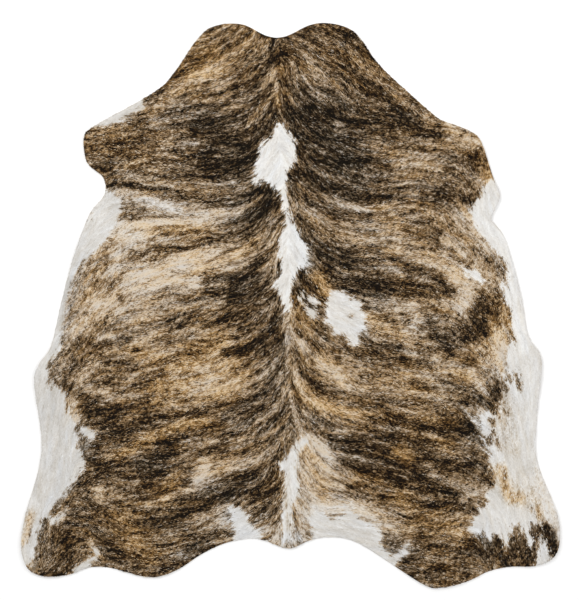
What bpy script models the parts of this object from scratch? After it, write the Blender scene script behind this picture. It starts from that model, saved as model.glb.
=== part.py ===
"""A hair-on cowhide rug lying flat on the floor, as one solid: the tanned skin together with its coat.

X runs across the hide, +Y points from the tail to the neck and +Z is up. The origin is under the middle of
the hide's box, on the floor. The tables hold centimetres, and heights in millimetres. The model is in metres.
"""

import math

import bmesh
import bpy
from mathutils import Vector

CM = 0.01
MM = 0.001

# Driving dimensions
RUG_LENGTH = 2.10  # from the neck lobes to the lower heel
SKIN_THICK = 0.0018  # the tanned leather
COAT_DEEP = 0.0034  # the hair lying on it
RIM_COAT = 0.0008  # the hair at the cut edge
RIM_WIDE = 0.012  # how far in from the cut edge the coat reaches its full depth
RIDGE_HIGH = 0.0014  # the hair stands this proud where it parts along the backbone
RIDGE_WIDE = 0.022
CREASE_DEEP = 0.0018  # the closed slit at the tail root
CREASE_WIDE = 0.016
CREASE_LONG = 0.26

# Mesh spacing
EDGE_STEP = 0.011  # between points of the cut edge
LATTICE = 0.072  # between cuts across the hide
LATTICE_CLEAR = 0.030  # no even cut lies this near to a cut of the parting
PARTING_CUTS = (-0.040, -0.020, 0.0, 0.020, 0.040)  # beside the backbone, for the ridge
SWAY_REACH = 0.30  # the cuts follow the backbone's sway out to here
CUT_TOLERANCE = 1e-6
SHARP_ANGLE = math.radians(40)

# The cut edge, clockwise from the notch between the neck lobes, a row for each stretch of it: x, y
CUT_EDGE = {
    "neck notch": ((-1.9, 100.2),),
    "right neck lobe": ((7.4, 104.5), (15.0, 105.0), (22.2, 102.8), (26.7, 98.3), (31.2, 91.8)),
    "right neck": ((37.9, 84.7), (53.5, 70.8), (57.0, 68.7)),
    "right foreleg": ((65.4, 65.5), (70.6, 61.4), (75.4, 47.6)),
    "right elbow": ((77.8, 40.6), (74.6, 32.6), (76.2, 30.2)),
    "right belly": ((80.4, 23.4), (86.0, 2.6), (88.6, -11.4), (93.3, -20.4)),
    "right flank": ((91.7, -41.6), (91.7, -57.2)),
    "right hind leg": ((99.0, -77.0), (100.1, -87.8), (97.7, -93.9), (91.5, -96.9), (81.8, -97.3)),
    "right heel": ((74.0, -98.9), (65.4, -102.8), (56.0, -105.0), (48.8, -103.5)),
    "right rump": ((29.4, -90.9), (21.8, -87.2), (14.6, -86.2), (7.2, -87.4)),
    "tail root": ((1.4, -90.0), (-2.5, -90.2)),
    "left rump": ((-11.4, -87.0), (-18.8, -87.2), (-26.2, -89.2), (-33.6, -92.9), (-41.4, -98.0)),
    "left heel": ((-48.6, -100.8), (-55.0, -100.8), (-67.2, -97.7), (-75.0, -97.6)),
    "left hind leg": ((-82.6, -100.2), (-90.4, -100.9), (-95.4, -99.7), (-98.2, -97.2), (-99.9, -92.6)),
    "left hock": ((-100.2, -86.4), (-98.3, -76.4)),
    "left flank": ((-93.7, -60.2), (-92.8, -49.0)),
    "left belly": ((-95.4, -28.8), (-93.6, -21.8), (-89.2, -15.0), (-85.2, 2.0), (-80.8, 18.2)),
    "left elbow": ((-76.2, 31.0), (-73.8, 35.8), (-69.3, 41.4), (-69.6, 47.4)),
    "left foreleg": ((-74.6, 51.8), (-76.4, 55.2), (-76.8, 62.8), (-72.6, 67.0)),
    "left neck": ((-50.6, 79.6), (-43.4, 86.6)),
    "left neck lobe": ((-34.4, 99.4), (-28.2, 104.0), (-18.2, 104.7), (-8.6, 100.3)),
}

# The backbone's sway, from the neck to the tail: y, x
BACKBONE = ((99.0, -3.8), (65.0, -4.9), (39.0, -1.6), (2.0, -0.1), (-35.0, 0.3), (-65.0, -0.8), (-89.0, -1.2))
TAIL_Y = -90.0

# Where the edge stands off the floor: the middle's x and y, the reach, and the height in millimetres
LIFTS = {
    "left neck lobe": (-36.0, 100.0, 15.0, 5.0),
    "right neck lobe": (25.0, 103.0, 14.0, 4.0),
    "left foreleg": (-79.0, 60.0, 13.0, 8.0),
    "right foreleg": (74.0, 60.0, 12.0, 5.5),
    "right elbow": (80.0, 39.0, 10.0, 8.0),
    "left armpit": (-83.0, 20.0, 12.0, 5.0),
    "right armpit": (85.0, 11.0, 13.0, 5.0),
    "left belly": (-98.0, -26.0, 13.0, 9.0),
    "right belly": (96.0, -24.0, 13.0, 8.5),
    "left flank": (-94.0, -52.0, 9.0, 3.5),
    "right flank": (93.0, -50.0, 9.0, 4.0),
    "left hind leg": (-101.0, -92.0, 16.0, 8.0),
    "right hind leg": (101.0, -87.0, 15.0, 7.5),
    "left heel": (-52.0, -104.0, 12.0, 5.0),
    "right heel": (56.0, -108.0, 13.0, 6.0),
    "tail root": (-0.6, -93.0, 8.0, 4.0),
}
LIFT_FADE = 0.7  # millimetres taken off every lift, so that a lift ends on the floor


def curve_point(before, start, end, after, share):
    """The point at this share of the way from start to end, on a Catmull-Rom curve through all four."""
    linear = (end - before) * share
    square = (2 * before - 5 * start + 4 * end - after) * share**2
    cube = (3 * start - before - 3 * end + after) * share**3
    return (2 * start + linear + square + cube) / 2


def cut_edge():
    """The cut edge as a smooth closed line of the rug's length, centred on the origin."""
    marks = [Vector(mark) * CM for stretch in CUT_EDGE.values() for mark in stretch]
    count = len(marks)
    line = []
    for i in range(count):
        four = (marks[i - 1], marks[i], marks[(i + 1) % count], marks[(i + 2) % count])
        steps = round((four[2] - four[1]).length / EDGE_STEP)
        line += [curve_point(*four, step / steps) for step in range(steps)]
    low = Vector((min(p.x for p in line), min(p.y for p in line)))
    high = Vector((max(p.x for p in line), max(p.y for p in line)))
    scale = RUG_LENGTH / (high.y - low.y)
    return [(p - (low + high) / 2) * scale for p in line]


def backbone_x(y):
    """How far to the side the backbone lies at this y."""
    for (start_y, start_x), (end_y, end_x) in zip(BACKBONE, BACKBONE[1:]):
        if y > end_y * CM:
            share = max(0.0, (start_y * CM - y) / ((start_y - end_y) * CM))
            return (start_x + (end_x - start_x) * share) * CM
    return BACKBONE[-1][1] * CM


def hump(distance, reach):
    """A soft hump of height 1 that dies away over the reach."""
    return math.exp(-((distance / reach) ** 2))


def floor_gap(x, y):
    """The underside's height above the floor."""
    total = sum(
        high * hump(math.hypot(x - mid_x * CM, y - mid_y * CM), reach * CM)
        for mid_x, mid_y, reach, high in LIFTS.values()
    )
    return max(0.0, total - LIFT_FADE) * MM


def thickness(x, y):
    """Skin and coat away from the cut edge, with the ridge of the parting and the crease at the tail root."""
    aside = x - backbone_x(y)
    ridge = RIDGE_HIGH * hump(aside, RIDGE_WIDE)
    crease = CREASE_DEEP * hump(aside, CREASE_WIDE) * hump(y - TAIL_Y * CM, CREASE_LONG)
    return SKIN_THICK + COAT_DEEP + ridge - crease


def cut_across(bm, field, axis, places):
    """Cuts the faces that are marked as the field along planes at these places on the axis."""
    for place in places:
        faces = [face for face in bm.faces if face[field]]
        edges = {edge for face in faces for edge in face.edges}
        verts = {vert for face in faces for vert in face.verts}
        bmesh.ops.bisect_plane(
            bm, geom=[*verts, *edges, *faces], dist=CUT_TOLERANCE, plane_co=axis * place, plane_no=axis
        )


def cut_places(half, extra=()):
    """Evenly spaced places from -half to half, with the extra ones in place of those near them."""
    count = round(2 * half / LATTICE)
    even = [half * (2 * i / count - 1) for i in range(1, count)]
    clear = [place for place in even if all(abs(place - other) > LATTICE_CLEAR for other in extra)]
    return [*clear, *extra]


def flat_sheet(bm):
    """The hide's outline on the floor: a strip along the cut edge around a field cut into a lattice."""
    field = bm.faces.layers.int.new("field")
    line = cut_edge()
    outline = bm.faces.new([bm.verts.new((p.x, p.y, 0.0)) for p in line])
    bmesh.ops.inset_region(bm, faces=[outline], thickness=RIM_WIDE, use_boundary=True, use_even_offset=True)
    middle = max(bm.faces, key=lambda face: len(face.verts))
    middle[field] = 1
    cut_across(bm, field, Vector((1, 0, 0)), cut_places(max(p.x for p in line), PARTING_CUTS))
    cut_across(bm, field, Vector((0, 1, 0)), cut_places(max(p.y for p in line)))
    strip = {vert for face in bm.faces if not face[field] for vert in face.verts}
    for vert in bm.verts:
        if vert not in strip:
            vert.co.x += backbone_x(vert.co.y) * max(0.0, 1 - abs(vert.co.x) / SWAY_REACH)
    bmesh.ops.triangulate(bm, faces=bm.faces[:])


def hide_mesh():
    """The flat sheet given its thickness, and raised where the rug stands off the floor."""
    bm = bmesh.new()
    flat_sheet(bm)
    rim = {tuple(vert.co.xy) for vert in bm.verts if vert.is_boundary}
    raised = bmesh.ops.extrude_face_region(bm, geom=bm.faces[:], use_keep_orig=True)
    for vert in raised["geom"]:
        if isinstance(vert, bmesh.types.BMVert):
            at_rim = tuple(vert.co.xy) in rim
            vert.co.z = SKIN_THICK + RIM_COAT if at_rim else thickness(vert.co.x, vert.co.y)
    for vert in bm.verts:
        vert.co.z += floor_gap(vert.co.x, vert.co.y)
    bmesh.ops.recalc_face_normals(bm, faces=bm.faces[:])
    mesh = bpy.data.meshes.new("hide")
    bm.to_mesh(mesh)
    bm.free()
    return mesh


def coat_material():
    """Short glossy hair, in the middle of the hide's browns."""
    material = bpy.data.materials.new("brindle coat")
    material.use_nodes = True
    shader = material.node_tree.nodes["Principled BSDF"]
    shader.inputs["Base Color"].default_value = (0.19, 0.125, 0.075, 1.0)
    shader.inputs["Roughness"].default_value = 0.62
    shader.inputs["Metallic"].default_value = 0.0
    return material


def build():
    """Clears the scene and makes the hide."""
    for old in list(bpy.data.objects):
        bpy.data.objects.remove(old)
    hide = bpy.data.objects.new("hide", hide_mesh())
    hide.data.materials.append(coat_material())
    hide.data.shade_smooth()
    hide.data.set_sharp_from_angle(angle=SHARP_ANGLE)
    bpy.context.scene.collection.objects.link(hide)


build()
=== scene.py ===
# %% [markdown]
# # A brindle cowhide rug
#
# The rug is one cow skin, tanned with its hair on and cut to the animal's own outline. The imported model
# gives that outline, the skin's thickness and how far the edges stand off the floor. This script adds what
# the eye looks for: hair that parts along the backbone and lies towards the belly, the brindle of dark and
# tan streaks in it, the white patches, and the pale suede on the flesh side.
#
# Everything is in metres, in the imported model's frame: X across the hide, +Y from the tail to the neck, +Z
# up. The tables are in centimetres.

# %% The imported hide, and the box that it fills
import math

import bmesh
import bpy
import numpy as np
from mathutils import Matrix, Vector
from mathutils.bvhtree import BVHTree


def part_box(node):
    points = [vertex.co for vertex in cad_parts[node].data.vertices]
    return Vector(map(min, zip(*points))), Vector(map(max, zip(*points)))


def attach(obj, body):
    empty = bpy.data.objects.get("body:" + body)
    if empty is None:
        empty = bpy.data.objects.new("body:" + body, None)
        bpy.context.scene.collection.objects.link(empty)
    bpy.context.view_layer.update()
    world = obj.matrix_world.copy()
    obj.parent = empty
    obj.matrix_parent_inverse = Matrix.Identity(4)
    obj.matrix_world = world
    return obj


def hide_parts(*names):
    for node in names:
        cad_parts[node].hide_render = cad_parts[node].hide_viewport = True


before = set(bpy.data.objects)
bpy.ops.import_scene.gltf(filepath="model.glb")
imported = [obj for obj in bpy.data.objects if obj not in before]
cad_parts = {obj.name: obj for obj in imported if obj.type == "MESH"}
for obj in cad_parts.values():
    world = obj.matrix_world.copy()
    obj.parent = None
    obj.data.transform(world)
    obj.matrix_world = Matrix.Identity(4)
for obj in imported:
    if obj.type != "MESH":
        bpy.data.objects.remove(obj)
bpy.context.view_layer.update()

CM = 0.01
MM = 0.001
PERCENT = 0.01

packed_low, packed_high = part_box("hide")
packed_size = packed_high - packed_low
print("packed hide, mm:", [round(side / MM, 1) for side in packed_size])

# %% [markdown]
# ## The camera
#
# The photo looks straight down on the hide, with the neck at the top. A long lens from well above gives that
# view with hardly any perspective. The hide's length takes up 565 of the photo's 600 pixels, so the height
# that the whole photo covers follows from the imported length, and the lens then gives the camera's distance.

# %% The camera
PHOTO_HIGH_PX = 600
PHOTO_WIDE_PX = 579
HIDE_LONG_PX = 564.5
HIDE_MIDDLE_PX = (290.5, 305.5)
LENS_MM = 85.0
SENSOR_MM = 36.0

metres_per_px = packed_size.y / HIDE_LONG_PX
camera_high = metres_per_px * PHOTO_HIGH_PX * LENS_MM / SENSOR_MM
packed_middle = (packed_low + packed_high) / 2

camera_data = bpy.data.cameras.new("camera")
camera_data.lens = LENS_MM
camera_data.sensor_width = SENSOR_MM
camera_data.clip_end = 100.0
camera = bpy.data.objects.new("camera", camera_data)
camera.location = (
    packed_middle.x + (PHOTO_WIDE_PX / 2 - HIDE_MIDDLE_PX[0]) * metres_per_px,
    packed_middle.y - (PHOTO_HIGH_PX / 2 - HIDE_MIDDLE_PX[1]) * metres_per_px,
    camera_high,
)
bpy.context.scene.collection.objects.link(camera)
bpy.context.scene.camera = camera
print("camera height, m:", round(camera_high, 2))

# %% [markdown]
# ## The floor and the light
#
# The photo's ground is an even white with no shadow on it, and the light comes from all sides. So the floor
# is a large pale disc, the world glows evenly, and two large soft lamps give the hair a little direction: a
# wide one over the neck's left side and a weaker one from the right. The colours of the coat are to come out
# as they are given, so the picture is shown without a film look.

# %% The floor, the world and the lamps
FLOOR_RADIUS = 14.0
FLOOR_SIDES = 96
FLOOR_DROP = 0.4 * MM
WHITE_LIGHT = (1.0, 1.0, 1.0, 1.0)
WORLD_GLOW = 0.80
LAMPS = {  # place in metres, side in metres, watts
    "wide lamp": ((-2.6, 2.4, 3.4), 2.6, 95.0),
    "side lamp": ((3.2, 0.6, 3.0), 2.4, 40.0),
}


def link(name, data):
    """Puts the data into the scene as an object at the origin."""
    thing = bpy.data.objects.new(name, data)
    bpy.context.scene.collection.objects.link(thing)
    return thing


def mesh_from(bm, name):
    """Turns a finished bmesh into a mesh and frees it."""
    mesh = bpy.data.meshes.new(name)
    bm.to_mesh(mesh)
    bm.free()
    return mesh


bm = bmesh.new()
bmesh.ops.create_circle(
    bm,
    cap_ends=True,
    segments=FLOOR_SIDES,
    radius=FLOOR_RADIUS,
    matrix=Matrix.Translation((0, 0, -FLOOR_DROP)),
)
floor = link("floor", mesh_from(bm, "floor"))

world = bpy.data.worlds.new("studio")
world.use_nodes = True
glow = world.node_tree.nodes["Background"]
glow.inputs["Color"].default_value = WHITE_LIGHT
glow.inputs["Strength"].default_value = WORLD_GLOW
bpy.context.scene.world = world

for lamp_name, (place, side, watts) in LAMPS.items():
    lamp_data = bpy.data.lights.new(lamp_name, "AREA")
    lamp_data.size = side
    lamp_data.energy = watts
    lamp = link(lamp_name, lamp_data)
    lamp.location = place
    lamp.rotation_euler = Vector(place).to_track_quat("Z", "Y").to_euler()
    lamp.visible_camera = False

bpy.context.scene.view_settings.view_transform = "Standard"
print("lamps:", len(LAMPS), "and a world of", WORLD_GLOW)

# %% [markdown]
# ## The cut edge
#
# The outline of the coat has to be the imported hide's own. A copy of its mesh is merged first, because the
# packed triangles are loose. The cut edge is then where the upright rim meets the underside: each of its
# points joins two such edges, so they chain into one closed ring.

# %% The cut edge as a closed ring of points
MERGE = 1e-6
UPRIGHT = 0.5  # a face whose normal has less than this of Z is part of the rim


def merged_hide():
    """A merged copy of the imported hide's mesh."""
    bm = bmesh.new()
    bm.from_mesh(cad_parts["hide"].data)
    bmesh.ops.remove_doubles(bm, verts=bm.verts, dist=MERGE)
    return bm


def rim_ring(bm):
    """The points of the lower edge of the rim, in their order around the hide."""
    joined = {}
    for edge in bm.edges:
        lean = sorted(face.normal.z for face in edge.link_faces)
        if lean[0] < -UPRIGHT and abs(lean[-1]) < UPRIGHT:
            for vert in edge.verts:
                joined.setdefault(vert, []).append(edge.other_vert(vert))
    first = next(iter(joined))
    ring = [first, joined[first][0]]
    while ring[-1] is not first:
        before, here = ring[-2:]
        ring.append(next(vert for vert in joined[here] if vert is not before))
    return np.array([vert.co.xy for vert in ring[:-1]])


hide_bm = merged_hide()
cut_edge = rim_ring(hide_bm)
hide_tree = BVHTree.FromBMesh(hide_bm)
hide_bm.free()
print("points on the cut edge:", len(cut_edge))

# %% [markdown]
# ## A grid over the hide
#
# The direction of the hair, the brindle and the white areas are all worked out on one even grid over the
# hide, a little finer than a pixel of the photo, and read from there wherever a hair needs them. `read`
# blends between the grid's points, `pick` takes the nearest one, and `window` finds the part of the grid
# that a stroke or a patch can touch, so that nothing is worked out for the rest. Two more helpers measure
# how far the grid's points are from a line.

# %% The grid, and how it is read
CELL = 3.6 * MM
GRID_MARGIN = 3 * CM
LAST_CELL = 1.001  # keeps a place just short of the last point, so that it has one on both sides
SHORTEST = 1e-12  # stands for the squared length of a line whose ends are one point

grid_low = cut_edge.min(0) - GRID_MARGIN
COLUMNS, ROWS = (int(side / CELL) for side in cut_edge.max(0) + GRID_MARGIN - grid_low)
grid_x, grid_y = np.meshgrid(grid_low[0] + CELL * np.arange(COLUMNS), grid_low[1] + CELL * np.arange(ROWS))


def blended(field, column, row):
    """The field's value at these columns and rows, blended between the four points around each."""
    column = np.clip(column, 0, field.shape[-1] - LAST_CELL)
    row = np.clip(row, 0, field.shape[-2] - LAST_CELL)
    c, r = column.astype(int), row.astype(int)
    right, up = column - c, row - r
    lower = field[..., r, c] * (1 - right) + field[..., r, c + 1] * right
    upper = field[..., r + 1, c] * (1 - right) + field[..., r + 1, c + 1] * right
    return lower * (1 - up) + upper * up


def read(field, x, y):
    """The field's value at these places on the hide, blended."""
    return blended(field, (x - grid_low[0]) / CELL, (y - grid_low[1]) / CELL)


def pick(field, x, y):
    """The field's value at the grid point nearest to each place."""
    c = np.clip(np.rint((x - grid_low[0]) / CELL).astype(int), 0, COLUMNS - 1)
    r = np.clip(np.rint((y - grid_low[1]) / CELL).astype(int), 0, ROWS - 1)
    return field[..., r, c]


def window(points, reach):
    """The slices of the grid that lie within reach of these points' box."""
    low = np.maximum((points.min(0) - reach - grid_low) / CELL, 0).astype(int)
    high = np.maximum((points.max(0) + reach - grid_low) / CELL + 2, 0).astype(int)
    return slice(low[1], high[1]), slice(low[0], high[0])


def gap_to_line(start, end, x, y):
    """How far each place is from the straight line between two points."""
    along = end - start
    reached = (x - start[0]) * along[0] + (y - start[1]) * along[1]
    share = np.clip(reached / max(along @ along, SHORTEST), 0, 1)
    return np.hypot(x - start[0] - share * along[0], y - start[1] - share * along[1])


def gap_to_path(path, near):
    """How far each grid point in this window is from a bent line."""
    return np.min([gap_to_line(a, b, grid_x[near], grid_y[near]) for a, b in zip(path, path[1:])], 0)


print("grid:", COLUMNS, "by", ROWS)

# %% [markdown]
# ## Inside and outside
#
# For the cut edge and for each white area, the grid has to know how deep inside it lies. The distance to the
# nearest side of the outline gives the size of that depth, and counting the sides crossed on the way from
# the left gives its sign.

# %% The depth inside an outline
DEPTH_REACH = 5 * CM


def depth_inside(outline):
    """How far inside the closed outline each grid point is, minus outside, and no more than the reach."""
    gap = np.full(grid_x.shape, DEPTH_REACH)
    within = np.zeros(grid_x.shape, bool)
    for start, end in zip(outline, np.roll(outline, -1, 0)):
        near = window(np.array((start, end)), DEPTH_REACH)
        gap[near] = np.minimum(gap[near], gap_to_line(start, end, grid_x[near], grid_y[near]))
        crossed = (grid_y[:, 0] > start[1]) != (grid_y[:, 0] > end[1])
        share = (grid_y[crossed, 0] - start[1]) / (end[1] - start[1]) if crossed.any() else np.zeros(0)
        within[crossed] ^= grid_x[crossed] > (start[0] + share * (end[0] - start[0]))[:, None]
    return np.where(within, gap, -gap)


edge_depth = depth_inside(cut_edge)
on_hide = edge_depth > 0
hide_area = float(on_hide.sum()) * CELL**2
print("hide area, m2:", round(hide_area, 3))

# %% [markdown]
# ## The lay of the hair
#
# A cow's hair parts along the backbone and lies outwards and down, and every streak of the brindle follows
# it. So the lay comes first, and the coat, the streaks and the ragged edges of the patches all use it. The
# table holds guide lines as the hair runs, from the backbone outwards, read off the photo. Between
# them the direction is blended, with the nearer lines counting for more. The two sides are blended apart, so
# the parting stays sharp.

# %% Guide lines for the lay of the hair
BACKBONE = ((99.0, -3.8), (65.0, -4.9), (39.0, -1.6), (2.0, -0.1), (-35.0, 0.3), (-65.0, -0.8), (-89.0, -1.2))

LAY_LEFT = {
    "neck lobe": ((-5,99), (-8,95), (-13,91), (-19,87), (-24,84), (-32,81), (-39,78), (-47,75), (-56,73)),
    "neck": ((-5,87), (-8,81), (-13,76), (-19,73), (-26,71), (-37,70), (-48,69), (-60,69), (-71,67)),
    "shoulder": ((-5,76), (-8,69), (-13,64), (-18,61), (-24,60), (-37,60), (-52,60), (-65,59), (-75,58)),
    "foreleg": ((-5,62), (-9,55), (-13,51), (-17,49), (-24,48), (-37,48), (-52,49), (-64,50), (-72,50)),
    "armpit": ((-5,52), (-8,46), (-13,41), (-18,38), (-24,37), (-37,36), (-52,37), (-61,37)),
    "upper rib": ((-4,41), (-8,34), (-12,29), (-18,26), (-25,24), (-37,23), (-52,22), (-61,19), (-69,16),
        (-75,11), (-80,3)),
    "rib": ((-3,30), (-6,22), (-11,18), (-17,15), (-25,14), (-37,12), (-48,11), (-58,8), (-65,4), (-72,-1),
        (-78,-8), (-83,-17)),
    "lower rib": ((-3,19), (-6,11), (-11,6), (-16,3), (-24,0), (-37,-1), (-48,-4), (-58,-5), (-65,-8),
        (-73,-12), (-79,-17), (-86,-25)),
    "waist": ((-2,6), (-5,-3), (-11,-7), (-17,-11), (-24,-13), (-37,-15), (-52,-17), (-67,-20), (-76,-23),
        (-84,-26)),
    "loin": ((-1,-5), (-5,-14), (-10,-19), (-16,-23), (-24,-25), (-37,-27), (-52,-30), (-67,-32), (-76,-34)),
    "hip": ((-1,-19), (-4,-27), (-9,-32), (-16,-36), (-24,-38), (-37,-40), (-52,-42), (-65,-43), (-74,-44)),
    "upper rump": ((-1,-33), (-4,-41), (-9,-46), (-16,-50), (-24,-52), (-37,-55), (-52,-56), (-65,-57),
        (-74,-58)),
    "rump": ((-1,-46), (-4,-53), (-9,-57), (-16,-60), (-24,-63), (-37,-66), (-48,-69), (-58,-72), (-69,-74)),
    "thigh": ((-1,-59), (-4,-66), (-10,-69), (-16,-72), (-24,-75), (-35,-80), (-47,-82), (-56,-82),
        (-63,-80), (-71,-75), (-76,-72)),
    "hock": ((-1,-71), (-4,-77), (-10,-81), (-19,-84), (-30,-87), (-41,-90), (-52,-91), (-63,-89), (-70,-87),
        (-75,-83), (-81,-81)),
    "heel": ((-34,-93), (-45,-96), (-56,-98), (-65,-95), (-72,-90), (-76,-86)),
    "lower leg": ((-76,-89), (-80,-92), (-83,-96), (-86,-99)),
    "belly edge": ((-66,41), (-73,32), (-77,24), (-82,16), (-85,6), (-88,-7), (-91,-17), (-93,-26),
        (-93,-35), (-93,-50), (-93,-61), (-95,-72), (-98,-84), (-99,-95)),
    "tail": ((-2,-53), (-2,-61), (-2,-72), (-2,-85)),
    "belly": ((-83,-26), (-86,-35), (-86,-50), (-85,-59), (-88,-69), (-91,-78), (-92,-87), (-93,-95)),
}
LAY_RIGHT = {
    "neck lobe": ((4,102), (13,100), (20,96), (26,89), (32,82), (40,76)),
    "neck": ((-3,98), (3,95), (8,91), (13,87), (19,82), (25,77), (33,74), (43,69)),
    "withers": ((-3,87), (1,79), (6,73), (12,69), (19,66), (30,64), (41,63), (52,62), (63,61), (71,59)),
    "shoulder": ((-3,76), (1,66), (6,60), (12,56), (19,54), (32,54), (45,55), (56,54), (64,51), (71,46),
        (75,40)),
    "foreleg": ((-2,58), (3,51), (7,46), (13,42), (20,39), (30,38), (41,40), (52,40), (59,38), (65,33),
        (71,25)),
    "armpit": ((-1,46), (3,38), (7,34), (13,29), (20,27), (30,25), (41,25), (52,25), (59,23), (66,18),
        (72,11), (78,2)),
    "upper rib": ((0,34), (3,26), (8,21), (13,16), (20,13), (30,12), (41,11), (52,11), (61,9), (68,6),
        (74,0), (79,-10)),
    "rib": ((0,21), (4,11), (8,5), (14,1), (21,-2), (30,-4), (41,-4), (52,-5), (61,-6), (68,-10), (74,-17),
        (80,-30)),
    "lower rib": ((0,6), (3,-4), (8,-9), (14,-13), (21,-17), (30,-19), (41,-20), (52,-20), (61,-21),
        (69,-23), (74,-27), (79,-35)),
    "waist": ((1,-7), (4,-17), (8,-22), (14,-26), (21,-28), (30,-30), (41,-31), (52,-32), (61,-32), (69,-34),
        (74,-39)),
    "loin": ((1,-20), (3,-29), (8,-34), (14,-38), (21,-40), (30,-41), (41,-43), (52,-44), (61,-45), (68,-47),
        (73,-52)),
    "hip": ((1,-35), (3,-42), (8,-46), (14,-49), (21,-50), (30,-51), (41,-52), (52,-53), (61,-54), (70,-55)),
    "rump": ((0,-46), (3,-54), (7,-59), (14,-63), (21,-65), (30,-68), (41,-69), (52,-71), (61,-72),
        (70,-72)),
    "thigh": ((0,-61), (3,-69), (7,-74), (14,-77), (21,-78), (30,-80), (41,-81), (52,-82), (61,-81),
        (69,-82)),
    "tail": ((0,-53), (0,-61), (0,-72), (-1,-85)),
    "tail side": ((1,-75), (3,-80), (7,-84), (13,-85)),
    "heel": ((26,-87), (38,-88), (45,-90), (56,-91), (66,-93)),
    "sole": ((39,-97), (48,-98), (58,-98), (67,-99)),
    "belly edge": ((72,58), (73,48), (72,39), (74,30), (78,22), (81,13), (83,4), (85,-5), (87,-15), (89,-26),
        (89,-39), (89,-52), (89,-59), (92,-69), (95,-80), (97,-91)),
    "belly": ((79,-32), (80,-41), (80,-50), (81,-61), (84,-71), (87,-80), (88,-89), (89,-96)),
    "lower leg": ((71,-75), (73,-84), (75,-91), (77,-97)),
}

# %% The direction of the hair at every grid point
GUIDE_STEP = 3 * CM
FEWEST_POINTS = 3  # on a short guide line
BLEND_CELL = 2 * CM
BLEND_SOFT = 1.5 * CM
BLEND_POWER = 1.5  # how fast a guide line counts for less with the square of the distance


def spread(line, step):
    """Points along a bent line, one for each step."""
    line = np.array(line) * CM
    reached = np.concatenate(([0], np.cumsum(np.hypot(*np.diff(line, axis=0).T))))
    places = np.linspace(0, reached[-1], max(FEWEST_POINTS, round(reached[-1] / step)))
    return np.stack([np.interp(places, reached, axis) for axis in line.T], 1)


def blended_lay(guides):
    """The direction of the hair, blended from one side's guide lines on a coarse grid first."""
    places, ways = [], []
    for guide in guides.values():
        line = spread(guide, GUIDE_STEP)
        way = np.gradient(line, axis=0)
        places.append(line)
        ways.append(way / np.hypot(*way.T)[:, None])
    places, ways = np.concatenate(places), np.concatenate(ways)
    stride = round(BLEND_CELL / CELL)
    x, y = grid_x[::stride, ::stride], grid_y[::stride, ::stride]
    gap = (x[..., None] - places[:, 0]) ** 2 + (y[..., None] - places[:, 1]) ** 2
    weight = 1 / (gap + BLEND_SOFT**2) ** BLEND_POWER
    way = np.stack([weight @ ways[:, 0], weight @ ways[:, 1]]) / weight.sum(-1)
    return blended(way, (grid_x - grid_low[0]) / (CELL * stride), (grid_y - grid_low[1]) / (CELL * stride))


def backbone_at(y):
    """Where the backbone is at these heights up the hide."""
    heights, sways = np.array(BACKBONE[::-1]).T * CM
    return np.interp(y, heights, sways)


backbone_x = backbone_at(grid_y)
lay = np.where(grid_x < backbone_x, blended_lay(LAY_LEFT), blended_lay(LAY_RIGHT))
print("guide lines:", len(LAY_LEFT) + len(LAY_RIGHT))

# %% [markdown]
# ## Noise, combed
#
# Hair never lies quite straight, so the lay is first turned a little to and fro by soft noise. Then comes
# the trick that makes the brindle: seeded noise is smeared along the lay, by walking from each grid point a
# short way both up and down the hair and averaging what lies there. Short walks over fine noise give the
# single locks, and longer walks over coarser noise give the streaks and bands.

# %% The waviness of the lay, and noise combed along it
SEED = 41
WAVES = ((5.0, 7.0), (1.6, 5.0))  # how wide in centimetres, how far it turns in degrees
BANDS_COMB = (1.2, 9.0)  # the noise's width, and how far it is smeared to both sides, in centimetres
STREAK_COMB = (0.5, 7.0)
LOCK_COMB = (0.42, 2.4)
FLECK_COMB = (0.36, 0.7)

rng = np.random.default_rng(SEED)


def soft_noise(width):
    """Noise of mean 0 and spread 1 whose blobs are about this wide."""
    across = np.fft.fftfreq(COLUMNS, CELL)
    up = np.fft.fftfreq(ROWS, CELL)[:, None]
    keep = np.exp(-((across**2 + up**2) * (math.pi * width / 2) ** 2))
    noise = np.fft.ifft2(np.fft.fft2(rng.standard_normal(grid_x.shape)) * keep).real
    return noise / noise.std()


turn = sum(math.radians(degrees) * soft_noise(width * CM) for width, degrees in WAVES)
lay = np.stack([lay[0] * np.cos(turn) - lay[1] * np.sin(turn), lay[0] * np.sin(turn) + lay[1] * np.cos(turn)])
lay /= np.hypot(*lay)


def combed_noise(width, reach):
    """Noise of this width smeared along the hair, as far as the reach to both sides, both in centimetres."""
    noise = soft_noise(width * CM)
    steps = round(reach * CM / CELL)
    total = noise.copy()
    for way in (CELL, -CELL):
        x, y = grid_x, grid_y
        for step in range(1, steps + 1):
            along = pick(lay, x, y)
            x = x + way * along[0]
            y = y + way * along[1]
            fade = 0.5 + 0.5 * math.cos(math.pi * step / (steps + 1))
            total += read(noise, x, y) * fade
    return total / total.std()


bands_noise = combed_noise(*BANDS_COMB)
streak_noise = combed_noise(*STREAK_COMB)
lock_noise = combed_noise(*LOCK_COMB)
fleck_noise = combed_noise(*FLECK_COMB)
print("combed noise:", bands_noise.shape)
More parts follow.
